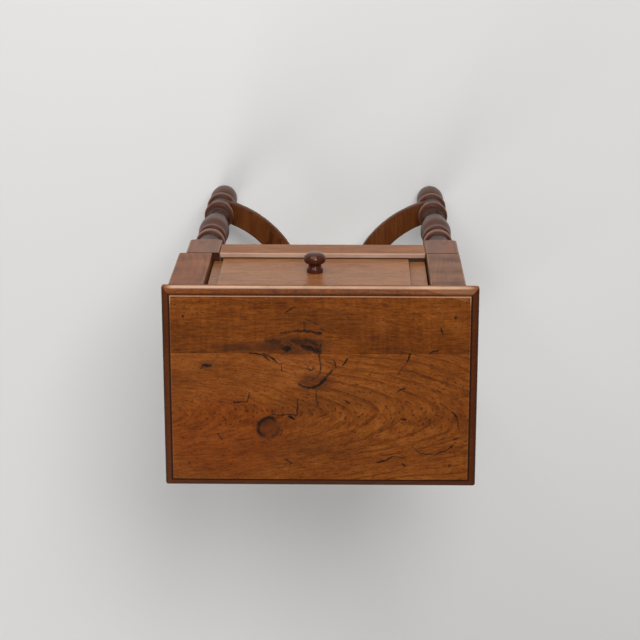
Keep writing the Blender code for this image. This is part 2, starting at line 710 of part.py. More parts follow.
def stretcher(legs):
    bows = {side: bow(side, sign, legs) for side, sign in SIDES.items()}
    apex = LEG_X - max(x for x, y in bow_path(STRETCHER_WIDTH / 2))
    middle_y = (LEG_FRONT_Y + LEG_REAR_Y) / 2
    half = STRETCHER_WIDTH / 2
    bar = box("stretcher_crossbar", (-apex + FIT, middle_y - half, STRETCHER_BOTTOM),
              (apex - FIT, middle_y + half, STRETCHER_BOTTOM + STRETCHER_THICK), leg_wood)
    for side, sign in SIDES.items():
        heel = Vector((sign * (apex - PEG_IN_BOW), middle_y, STRETCHER_MIDDLE))
        tip = Vector((sign * (apex + PEG_IN_BOW), middle_y, STRETCHER_MIDDLE))
        heading = Vector((sign, 0, 0))
        rod(f"crossbar_peg_{side}", heel, tip, PEG_RADIUS, inner_wood, SCREW_STEPS)
        socket = rod_cutter(f"crossbar_socket_{side}", heel - heading * FIT, tip + heading * FIT,
                            PEG_RADIUS + FIT, SCREW_STEPS)
        cut(bar, socket)
        cut(bows[side], socket)


boards = top_boards()
legs = base_frame()
ties = upper_case(legs)
top_screws(ties, boards)
bearers()
drawer_face = drawer()
knob(drawer_face)
stretcher(legs)
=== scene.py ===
# Looks for the side table: fine turnings and mouldings over the imported frame, and its worn wood finishes, some with
# shade and highlights painted in.
import math

import bmesh
import bpy
from mathutils import Euler, Matrix, Vector


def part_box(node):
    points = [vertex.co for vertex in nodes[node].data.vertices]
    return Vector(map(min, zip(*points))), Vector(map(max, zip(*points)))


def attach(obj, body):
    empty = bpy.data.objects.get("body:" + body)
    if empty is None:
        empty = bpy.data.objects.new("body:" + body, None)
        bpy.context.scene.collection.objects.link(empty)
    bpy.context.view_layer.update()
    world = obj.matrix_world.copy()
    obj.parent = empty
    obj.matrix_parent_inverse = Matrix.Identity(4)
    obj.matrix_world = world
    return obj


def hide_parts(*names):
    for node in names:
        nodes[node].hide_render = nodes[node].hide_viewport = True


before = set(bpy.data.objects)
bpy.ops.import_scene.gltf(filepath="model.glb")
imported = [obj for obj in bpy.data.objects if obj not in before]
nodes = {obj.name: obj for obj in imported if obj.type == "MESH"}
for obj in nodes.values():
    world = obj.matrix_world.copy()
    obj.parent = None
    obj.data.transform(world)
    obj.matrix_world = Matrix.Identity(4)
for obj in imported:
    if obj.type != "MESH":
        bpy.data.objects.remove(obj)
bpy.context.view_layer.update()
print("frame loaded,", len(nodes), "nodes")


# Shader maths: one wrapped socket, so that masks read as sums

class Wire:
    def __init__(self, maker, socket):
        self.maker = maker
        self.socket = socket

    def math(self, operation, *others):
        values = {i: value for i, value in enumerate((self, *others))}
        return self.maker.add("ShaderNodeMath", {"operation": operation}, values)

    def __add__(self, other):
        return self.math("ADD", other)

    def __sub__(self, other):
        return self.math("SUBTRACT", other)

    def __mul__(self, other):
        return self.math("MULTIPLY", other)

    def __truediv__(self, other):
        return self.math("DIVIDE", other)

    def __rsub__(self, other):
        return self.maker.add("ShaderNodeMath", {"operation": "SUBTRACT"}, {0: other, 1: self})

    __radd__ = __add__
    __rmul__ = __mul__

    def size(self):
        return self.math("ABSOLUTE")

    def root(self):
        return self.math("SQRT")

    def fract(self):
        return self.math("FRACT")

    def least(self, other):
        return self.math("MINIMUM", other)

    def most(self, other):
        return self.math("MAXIMUM", other)

    def rise(self, low, high):  # 0 at low, 1 at high, smooth between, either way round
        return self.maker.add("ShaderNodeMapRange", {"interpolation_type": "SMOOTHSTEP"},
                              {0: self, 1: low, 2: high, 3: 0.0, 4: 1.0})


class Maker:  # adds nodes to one tree, of shaders or of geometry
    def __init__(self, tree):
        self.tree = tree

    def add(self, kind, settings=None, sockets=None, out=0):
        node = self.tree.nodes.new(kind)
        for name, value in (settings or {}).items():
            if name == "stops":
                self.setStops(node.color_ramp, value)
            else:
                setattr(node, name, value)
        for key, value in (sockets or {}).items():
            if isinstance(value, Wire):
                self.tree.links.new(value.socket, node.inputs[key])
            elif isinstance(value, list):  # a socket that takes several links
                for wire in value:
                    self.tree.links.new(wire.socket, node.inputs[key])
            else:
                node.inputs[key].default_value = value
        return Wire(self, node.outputs[out]) if node.outputs else node

    def setStops(self, ramp, stops):
        while len(ramp.elements) < len(stops):
            ramp.elements.new(0.5)
        for element, (place, colour) in zip(ramp.elements, stops):
            element.position = place
            element.color = (*colour, 1.0)

    def split(self, vector):
        parts = self.add("ShaderNodeSeparateXYZ", None, {0: vector})
        return [Wire(self, socket) for socket in parts.socket.node.outputs]

    def join(self, x, y, z):
        return self.add("ShaderNodeCombineXYZ", None, {0: x, 1: y, 2: z})

    def noise(self, vector, detail=2.0, rough=0.5, out=0):
        return self.add("ShaderNodeTexNoise", None,
                        {"Vector": vector, "Scale": 1.0, "Detail": detail, "Roughness": rough}, out)

    def mix(self, factor, colourA, colourB, blend="MIX"):
        sockets = {0: factor}
        for index, colour in ((6, colourA), (7, colourB)):
            sockets[index] = colour if isinstance(colour, Wire) else (*colour, 1.0)
        return self.add("ShaderNodeMix", {"data_type": "RGBA", "blend_type": blend}, sockets, 2)


def newFinish(name):
    material = bpy.data.materials.new(name)
    material.use_nodes = True
    material.node_tree.nodes.clear()
    return material, Maker(material.node_tree)


def closeFinish(maker, colour, roughness, height, bumpDepth, settings):
    normal = maker.add("ShaderNodeBump", None, {"Strength": 1.0, "Distance": bumpDepth, "Height": height})
    sockets = {"Base Color": colour, "Roughness": roughness, "Normal": normal}
    sockets.update(settings)
    shader = maker.add("ShaderNodeBsdfPrincipled", None, sockets)
    maker.add("ShaderNodeOutputMaterial", None, {"Surface": shader})


# Wood: growth rings round a pith line, slow wander, streaks and pores along the grain

axisOrder = {"x": (0, 1, 2), "y": (1, 0, 2), "z": (2, 0, 1)}


def grainOf(maker, look):
    place = maker.add("ShaderNodeTexCoord", None, None, 3)
    axes = maker.split(place)
    along, across, deep = (axes[i] for i in axisOrder[look["grain"]])
    if "fold" in look:  # the same pattern about each of four legs
        half, middle = look["fold"]
        across = across.size() - half[0]
        deep = (deep - middle).size() - half[1]
    shift = look["seed"]
    slow = maker.noise(maker.join(along * look["wanderRate"][0] + shift, across * look["wanderRate"][1],
                                  deep * look["wanderRate"][1] + shift), 2.0, 0.5, 1)
    slowA, slowB, slowC = maker.split(slow)
    u = across - look["pith"][0] + (slowA - 0.5) * look["wander"]
    v = deep - look["pith"][1] + along * look["tilt"] + (slowB - 0.5) * look["wander"]
    radius = (u * u + v * v).root()
    rings = (radius / look["ring"] + (slowC - 0.5) * look["ringWander"]).fract()
    rate, sideRate = look["mottleRate"]
    mottle = maker.noise(maker.join(along * rate, across * sideRate + shift, deep * sideRate), 4.0, 0.6)
    rate, sideRate = look["cloudRate"]
    cloud = maker.noise(maker.join(along * rate + shift, across * sideRate, deep * sideRate), 4.0, 0.62)
    late = rings.rise(0.55, 0.92) * rings.rise(1.0, 0.94) * mottle.rise(0.30, 0.66)  # slow rise, sharp end
    if "quiet" in look:  # the figure fades towards one end
        late = late * along.rise(*look["quiet"])
    run = look["run"]  # how short the streaks are
    fine = maker.noise(maker.join(along * run + shift, radius * look["fineRate"], across * run), 4.0, 0.66)
    short = look["poreRun"]  # how much shorter the pores are than the streaks
    dashes = maker.noise(maker.join(along * run * short + shift, radius * look["poreRate"], across * run * short),
                         2.0, 0.6)
    pores = dashes.rise(0.57, 0.66)
    rate, sideRate = look["rippleRate"]
    ripple = maker.noise(maker.join(along * rate + shift, across * sideRate, deep), 2.0, 0.5)
    girth = (across * across + deep * deep).root()  # distance from a leg's own axis, where the pattern is folded
    return {"axes": axes, "late": late, "fine": fine, "pores": pores, "mottle": mottle, "cloud": cloud,
            "ripple": ripple, "girth": girth}


def edgeMask(grain, box, reach):  # how near a point of a squared piece is to its nearest arris
    low, high = box
    x, y, z = ((axis - low[i]).least(high[i] - axis) for i, axis in enumerate(grain["axes"]))
    second = x.least(y).most(x.most(y).least(z))
    return (second + (grain["mottle"] - 0.5) * reach * 1.6).rise(reach, reach * 0.15)


def woodTone(maker, grain, look):
    tone = ((grain["late"] - 0.2) * -look["ringDepth"] + (grain["fine"] - 0.5) * look["streak"]
            + (grain["mottle"] - 0.5) * look["mottle"] + (grain["cloud"] - 0.5) * look["cloud"]
            + (grain["ripple"] - 0.5) * look["ripple"] + 0.5)
    colour = maker.add("ShaderNodeValToRGB", {"stops": [(0.0, look["dark"]), (0.5, look["mid"]),
                                                        (1.0, look["light"])]}, {0: tone})
    return maker.mix(grain["pores"] * look["poreDepth"], colour, look["pore"])


def woodFinish(name, look, box=None):
    material, maker = newFinish(name)
    grain = grainOf(maker, look)
    colour = woodTone(maker, grain, look)
    vary = look["roughVary"]
    roughness = look["rough"] + (grain["fine"] - 0.5) * vary + (grain["mottle"] - 0.5) * vary
    if "polish" in look:
        roughness = roughness + look["polish"](grain)
    if box:
        wear = edgeMask(grain, box, look["wearReach"])
        colour = maker.mix(wear * look["wearDepth"], colour, look["wearColour"])
    if "worn" in look:
        colour = look["worn"](maker, grain, colour)
    height = grain["fine"] * 0.5 - grain["pores"] * 0.5 - grain["late"] * 0.2
    closeFinish(maker, colour, roughness, height, look["bump"], {"IOR": 1.5, "Specular IOR Level": look["gloss"]})
    return material


woodBase = {"grain": "x", "seed": 0.0, "pith": (0.25, 0.55), "tilt": 0.0, "ring": 0.0048, "ringWander": 2.6,
            "wander": 0.03, "wanderRate": (3.0, 8.0), "mottleRate": (8.0, 19.0), "cloudRate": (24.0, 75.0),
            "run": 9.0, "fineRate": 560.0, "poreRun": 3.2, "poreRate": 1050.0, "rippleRate": (190.0, 26.0),
            "ringDepth": 0.30, "streak": 0.9, "mottle": 1.2, "cloud": 0.9, "ripple": 0.15, "poreDepth": 0.65,
            "dark": (0.085, 0.022, 0.006), "mid": (0.165, 0.048, 0.013), "light": (0.255, 0.085, 0.026),
            "pore": (0.050, 0.014, 0.004), "rough": 0.36, "roughVary": 0.16, "gloss": 0.17, "bump": 0.00018,
            "wearReach": 0.0022, "wearDepth": 0.55, "wearColour": (0.34, 0.19, 0.11)}


def look(**changes):
    return {**woodBase, **changes}


# Geometry trees: a named input is set by its identifier, then the result becomes a plain mesh

def newTree(name, inputs):
    tree = bpy.data.node_groups.new(name, "GeometryNodeTree")
    tree.interface.new_socket("Geometry", in_out="INPUT", socket_type="NodeSocketGeometry")
    tree.interface.new_socket("Geometry", in_out="OUTPUT", socket_type="NodeSocketGeometry")
    for label, kind in inputs.items():
        tree.interface.new_socket(label, in_out="INPUT", socket_type="NodeSocket" + kind)
    maker = Maker(tree)
    start = tree.nodes.new("NodeGroupInput")
    return maker, {socket.name: Wire(maker, socket) for socket in start.outputs if socket.name}


def endTree(maker, geometry, material):
    real = maker.add("GeometryNodeRealizeInstances", None, {0: geometry})
    maker.add("NodeGroupOutput", None, {0: maker.add("GeometryNodeSetMaterial", None,
                                                     {"Geometry": real, "Material": material})})


def linesMesh(name, lines):  # polylines as loose edges, the starting shape of a tree
    shape = bmesh.new()
    for points in lines:
        verts = [shape.verts.new(point) for point in points]
        for a, b in zip(verts, verts[1:]):
            shape.edges.new((a, b))
    mesh = bpy.data.meshes.new(name)
    shape.to_mesh(mesh)
    shape.free()
    return mesh


def placed(name, mesh):
    piece = bpy.data.objects.new(name, mesh)
    bpy.context.scene.collection.objects.link(piece)
    return piece


def grow(name, mesh, maker, values, body):
    start = placed(name + "Start", mesh)
    step = start.modifiers.new("tree", "NODES")
    step.node_group = maker.tree
    for item in maker.tree.interface.items_tree:
        if item.in_out == "INPUT" and item.name in values:
            step[item.identifier] = values[item.name]
    bpy.context.view_layer.update()
    made = bpy.data.meshes.new_from_object(start.evaluated_get(bpy.context.evaluated_depsgraph_get()))
    start.modifiers.clear()
    bpy.data.objects.remove(start)
    shape = bmesh.new()
    shape.from_mesh(made)
    bmesh.ops.remove_doubles(shape, verts=shape.verts[:], dist=0.000005)
    bmesh.ops.recalc_face_normals(shape, faces=shape.faces[:])
    shape.to_mesh(made)
    shape.free()
    made.name = name
    piece = placed(name, made)
    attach(piece, body)
    return piece


def sharpen(piece, degrees):
    # smooth faces, with arrises kept crisp
    shape = bmesh.new()
    shape.from_mesh(piece.data)
    for face in shape.faces:
        face.smooth = True
    for edge in shape.edges:
        edge.smooth = len(edge.link_faces) == 2 and edge.calc_face_angle(0.0) < math.radians(degrees)
    shape.to_mesh(piece.data)
    shape.free()


# Turned work: a profile swept round a point, top down, (radius, height)

def beadLine(radius, waist, top, bottom, steps=12):
    turns = [math.pi * i / steps for i in range(steps + 1)]
    return [(waist + (radius - waist) * math.sin(t) ** 0.8, (top + bottom) / 2 + (top - bottom) / 2 * math.cos(t))
            for t in turns]


def easeLine(radiusTop, top, radiusBottom, bottom, steps=14):
    made = []
    for i in range(steps + 1):
        share = i / steps
        made.append((radiusTop + (radiusBottom - radiusTop) * (1 - math.cos(math.pi * share)) / 2,
                     top + (bottom - top) * share))
    return made


def latheOf(maker, start):
    profile = maker.add("GeometryNodeMeshToCurve", None, {0: start["Geometry"]})
    circle = maker.add("GeometryNodeCurvePrimitiveCircle", None, {"Resolution": start["Sides"], "Radius": 0.00001})
    upright = maker.add("GeometryNodeSetCurveNormal", {"mode": "Z_UP"}, {0: circle})
    swept = maker.add("GeometryNodeCurveToMesh", None, {"Curve": upright, "Profile Curve": profile})
    return maker.add("GeometryNodeMergeByDistance", None, {0: swept, "Distance": 0.00003})


# Legs: one turning, squared by its blank, set on four points

leg = {"blank": 0.0465, "arris": 0.0014, "blankDrop": 0.02, "blockTop": 0.479, "blockBottom": 0.401,
       "corner": 0.034, "shoulderRise": 0.010, "shoulderDrop": 0.013, "neck": 0.0155, "sides": 72, "crisp": 34,
       # a bead is radius, waist, top, bottom; a curve radius, top, radius, bottom; a straight radius and heights
       "turning": [
           ("curve", 0.0155, 0.3890, 0.0180, 0.3455),  # neck
           ("bead", 0.0221, 0.0186, 0.3430, 0.3220), ("straight", 0.0172, 0.3205, 0.3085),
           ("bead", 0.0215, 0.0180, 0.3070, 0.2930), ("straight", 0.0183, 0.2915),
           ("curve", 0.0190, 0.2905, 0.0230, 0.2620), ("curve", 0.0230, 0.2600, 0.0155, 0.1780, 22),  # vase
           ("straight", 0.0155, 0.1700), ("curve", 0.0158, 0.1680, 0.0188, 0.1605, 6),
           ("bead", 0.0230, 0.0192, 0.1585, 0.1400), ("straight", 0.0185, 0.1380, 0.1005),  # seat of the stretcher
           ("bead", 0.0232, 0.0192, 0.0990, 0.0785), ("straight", 0.0174, 0.0770, 0.0735)],
       "foot": {"core": 0.0132, "bulge": 0.0086, "middle": 0.0375, "half": 0.0350, "from": 12, "turn": 138,
                "steps": 22},
       "sole": 0.0150, "soleEase": 0.0006}


def legLine():
    line = [(0.0, leg["blockTop"]), (leg["corner"], leg["blockTop"])]
    start = leg["blockBottom"] + leg["shoulderRise"]
    for i in range(13):
        a = math.pi / 2 * i / 12
        radius = leg["neck"] + (leg["corner"] - leg["neck"]) * math.cos(a)
        line.append((radius, start - leg["shoulderDrop"] * math.sin(a)))
    for kind, *sizes in leg["turning"]:
        if kind == "bead":
            line += beadLine(*sizes)
        elif kind == "curve":
            line += easeLine(*sizes)
        else:
            line += [(sizes[0], height) for height in sizes[1:]]
    foot = leg["foot"]
    for i in range(1, foot["steps"] + 1):  # ball foot
        a = math.radians(foot["from"] + foot["turn"] * i / foot["steps"])
        line.append((foot["core"] + foot["bulge"] * math.sin(a), foot["middle"] + foot["half"] * math.cos(a)))
    line += [(leg["sole"], leg["soleEase"]), (leg["sole"] - leg["soleEase"], 0.0), (0.0, 0.0)]
    return [(radius, -height, 0.0) for radius, height in line]


def legCentres():
    ends = [sum(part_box(name), Vector()) / 2 for name in ("leg_front_left", "leg_rear_right")]
    return ends[0], ends[1]


def makeLegs(material):
    maker, start = newTree("turnedLegs", {"Sides": "Int", "Blank": "Float", "Arris": "Float", "Top": "Float",
                                          "Spread X": "Float", "Spread Y": "Float", "Middle": "Vector",
                                          "Material": "Material"})
    lathe = latheOf(maker, start)
    square = maker.add("GeometryNodeCurvePrimitiveQuadrilateral", None, {0: start["Blank"], 1: start["Blank"]})
    eased = maker.add("GeometryNodeFilletCurve", {"mode": "POLY"}, {0: square, 1: 4, 2: start["Arris"]})
    tall = maker.add("ShaderNodeCombineXYZ", None, {2: start["Top"]})
    spine = maker.add("GeometryNodeCurvePrimitiveLine", None, {0: (0.0, 0.0, -leg["blankDrop"]), 1: tall})
    blank = maker.add("GeometryNodeCurveToMesh", None, {"Curve": spine, "Profile Curve": eased, "Fill Caps": True})
    squared = maker.add("GeometryNodeMeshBoolean", {"operation": "INTERSECT", "solver": "EXACT"},
                        {"Mesh 2": [lathe, blank]})
    corners = maker.add("GeometryNodeMeshGrid", None, {0: start["Spread X"], 1: start["Spread Y"], 2: 2, 3: 2})
    stood = maker.add("GeometryNodeTransform", None, {0: corners, "Translation": start["Middle"]})
    endTree(maker, maker.add("GeometryNodeInstanceOnPoints", None, {0: stood, 2: squared}), start["Material"])
    low, high = legCentres()
    made = grow("turnedLegs", linesMesh("legLine", [legLine()]), maker,
                {"Sides": leg["sides"], "Blank": leg["blank"], "Arris": leg["arris"], "Top": leg["blockTop"],
                 "Spread X": high.x - low.x, "Spread Y": high.y - low.y,
                 "Middle": ((low.x + high.x) / 2, (low.y + high.y) / 2, 0.0), "Material": material}, "frame")
    sharpen(made, leg["crisp"])
    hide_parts("leg_front_left", "leg_front_right", "leg_rear_left", "leg_rear_right")


# Knob: the same lathe, laid over to point out of the drawer

knob = {"head": 0.0153, "neck": 0.0086, "base": 0.0112, "length": 0.0275, "widest": 0.67, "underside": 0.42,
        "stem": (0.34, 0.15), "lip": 0.11, "dome": 0.70, "hollow": 1.1, "ease": 0.0003, "sides": 72, "crisp": 34}


def knobLine():
    length = knob["length"]
    widest = length * knob["widest"]
    line = [(0.0, length)]
    for i in range(1, 17):  # domed head
        a = math.pi / 2 * i / 16
        line.append((knob["head"] * math.sin(a) ** knob["dome"], widest + (length - widest) * math.cos(a)))
    for i in range(1, 13):  # its underside
        a = math.pi / 2 * i / 12
        line.append((knob["neck"] + (knob["head"] - knob["neck"]) * math.cos(a) ** knob["hollow"],
                     widest - length * (knob["widest"] - knob["underside"]) * math.sin(a)))
    stemTop, stemFoot = (length * share for share in knob["stem"])
    line += easeLine(knob["neck"] * 1.01, stemTop, knob["base"] * 0.97, stemFoot, 8)
    base, ease = knob["base"], knob["ease"]
    line += [(base, length * knob["lip"]), (base, ease), (base - ease, 0.0), (0.0, 0.0)]
    return [(radius, -height, 0.0) for radius, height in line]


def makeKnob(material):
    maker, start = newTree("turnedKnob", {"Sides": "Int", "Seat": "Vector", "Material": "Material"})
    laid = maker.add("GeometryNodeTransform", None, {0: latheOf(maker, start), "Translation": start["Seat"],
                                                     "Rotation": Euler((math.pi / 2, 0.0, 0.0))})
    endTree(maker, laid, start["Material"])
    low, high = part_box("drawer_knob")
    seat = ((low.x + high.x) / 2, high.y, (low.z + high.z) / 2)
    made = grow("turnedKnob", linesMesh("knobLine", [knobLine()]), maker,
                {"Sides": knob["sides"], "Seat": seat, "Material": material}, "drawer")
    sharpen(made, knob["crisp"])
    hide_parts("drawer_knob")


# Stretcher: two bowed members and a crossbar, one eased section swept along each line

stretcher = {"width": 0.034, "thick": 0.016, "arris": 0.0022, "middle": 0.108, "radius": 0.158,
             "startTurn": 13.0, "sharpTurn": 53.0, "barGap": 0.0003, "crisp": 40}


def bowLine(sign, low, high):  # from the front leg's axis round to the rear leg's
    start, turn = math.radians(stretcher["startTurn"]), math.radians(stretcher["sharpTurn"])
    radius = stretcher["radius"]
    depth = (high.y - low.y) / 2
    firstDepth = radius * (math.cos(start) - math.cos(turn))
    firstX = radius * (math.sin(turn) - math.sin(start))
    wide = (depth - firstDepth) / math.cos(turn)
    half = []
    for i in range(25):
        a = start + (turn - start) * i / 24
        half.append((radius * (math.sin(a) - math.sin(start)), radius * (math.cos(start) - math.cos(a))))
    for i in range(1, 17):
        a = turn + (math.pi / 2 - turn) * i / 16
        half.append((firstX + wide * (math.sin(a) - math.sin(turn)),
                     firstDepth + wide * (math.cos(turn) - math.cos(a))))
    whole = half + [(x, 2 * depth - y) for x, y in reversed(half[:-1])]
    return [(sign * (high.x - x), low.y + y, stretcher["middle"]) for x, y in whole]


def makeStretcher(material):
    maker, start = newTree("bowedStretcher", {"Width": "Float", "Thick": "Float", "Arris": "Float",
                                              "Material": "Material"})
    paths = maker.add("GeometryNodeMeshToCurve", None, {0: start["Geometry"]})
    level = maker.add("GeometryNodeSetCurveNormal", {"mode": "Z_UP"}, {0: paths})
    section = maker.add("GeometryNodeCurvePrimitiveQuadrilateral", None, {0: start["Width"], 1: start["Thick"]})
    eased = maker.add("GeometryNodeFilletCurve", {"mode": "POLY"}, {0: section, 1: 4, 2: start["Arris"]})
    swept = maker.add("GeometryNodeCurveToMesh", None, {"Curve": level, "Profile Curve": eased, "Fill Caps": True})
    endTree(maker, swept, start["Material"])
    low, high = legCentres()
    bows = [bowLine(sign, low, high) for sign in (-1, 1)]
    inner = min(abs(point[0]) for point in bows[0]) - stretcher["width"] / 2 - stretcher["barGap"]
    middle = (low.y + high.y) / 2
    bar = [(-inner, middle, stretcher["middle"]), (inner, middle, stretcher["middle"])]
    made = grow("bowedStretcher", linesMesh("stretcherLines", bows + [bar]), maker,
                {"Width": stretcher["width"], "Thick": stretcher["thick"], "Arris": stretcher["arris"],
                 "Material": material}, "frame")
    sharpen(made, stretcher["crisp"])
    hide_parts("stretcher_bow_left", "stretcher_bow_right", "stretcher_crossbar")


# Top: rings of the moulded edge from the underside up, then parted at the glue line

top = {"mouldWidth": 0.0108, "fillet": 0.0018, "drop": 0.0085, "steps": 18, "corner": 0.0030, "leastCorner": 0.0006,
       "cornerSteps": 5, "arris": 0.0010, "lip": [(0.0001, 0.0005), (0.0003, 0.0001), (0.0008, 0.0)], "crisp": 32}


def roundedRing(halfX, halfY, radius, middleY, height):
    ring = []
    for turn, signX, signY in ((0, 1, 1), (90, -1, 1), (180, -1, -1), (270, 1, -1)):
        for i in range(top["cornerSteps"] + 1):
            a = math.radians(turn + 90 * i / top["cornerSteps"])
            ring.append(Vector((signX * (halfX - radius) + radius * math.cos(a),
                                middleY + signY * (halfY - radius) + radius * math.sin(a), height)))
    return ring


def topRings(low, high):
    halfX, halfY, middle = (high.x - low.x) / 2, (high.y - low.y) / 2, (low.y + high.y) / 2
    shoulder = high.z - top["fillet"] - top["drop"]
    steps = [(top["arris"], low.z), (top["arris"] * 0.3, low.z + top["arris"] * 0.3), (0.0, low.z + top["arris"])]
    for i in range(top["steps"] + 1):
        a = math.pi / 2 * i / top["steps"]
        steps.append((top["mouldWidth"] * (1 - math.cos(a)), shoulder + top["drop"] * math.sin(a)))
    steps += [(top["mouldWidth"] + inset, high.z - drop) for inset, drop in top["lip"]]
    rings = []
    for inset, height in steps:
        radius = max(top["leastCorner"], top["corner"] - inset * 0.25)
        rings.append(roundedRing(halfX - inset, halfY - inset, radius, middle, height))
    return rings


def makeTop(materials):
    boxes = [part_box("top_board_front"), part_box("top_board_rear")]
    low, high = boxes[0][0].copy(), boxes[1][1].copy()
    slab = bmesh.new()
    rings = [[slab.verts.new(point) for point in ring] for ring in topRings(low, high)]
    for ringA, ringB in zip(rings, rings[1:]):
        for i in range(len(ringA)):
            j = (i + 1) % len(ringA)
            slab.faces.new((ringA[i], ringA[j], ringB[j], ringB[i]))
    slab.faces.new(rings[-1])
    slab.faces.new(rings[0][::-1])
    cuts = {"topBoardFront": (boxes[0][1].y, 1, "top_board_front"),
            "topBoardRear": (boxes[1][0].y, -1, "top_board_rear")}
    for name, (seam, way, node) in cuts.items():
        shape = slab.copy()
        cut = bmesh.ops.bisect_plane(shape, geom=shape.verts[:] + shape.edges[:] + shape.faces[:], dist=0.000001,
                                     plane_co=(0, seam, 0), plane_no=(0, way, 0), clear_outer=True)
        rim = [item for item in cut["geom_cut"] if isinstance(item, bmesh.types.BMEdge)]
        bmesh.ops.edgenet_fill(shape, edges=rim)
        bmesh.ops.recalc_face_normals(shape, faces=shape.faces[:])
        mesh = bpy.data.meshes.new(name)
        shape.to_mesh(mesh)
        shape.free()
        mesh.materials.append(materials[name])
        piece = placed(name, mesh)
        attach(piece, "frame")
        sharpen(piece, top["crisp"])
        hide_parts(node)
    slab.free()


# Marks on the top, in metres on its face: old gouges, dents and knots as strokes (x, y, to x, to y, width, depth)

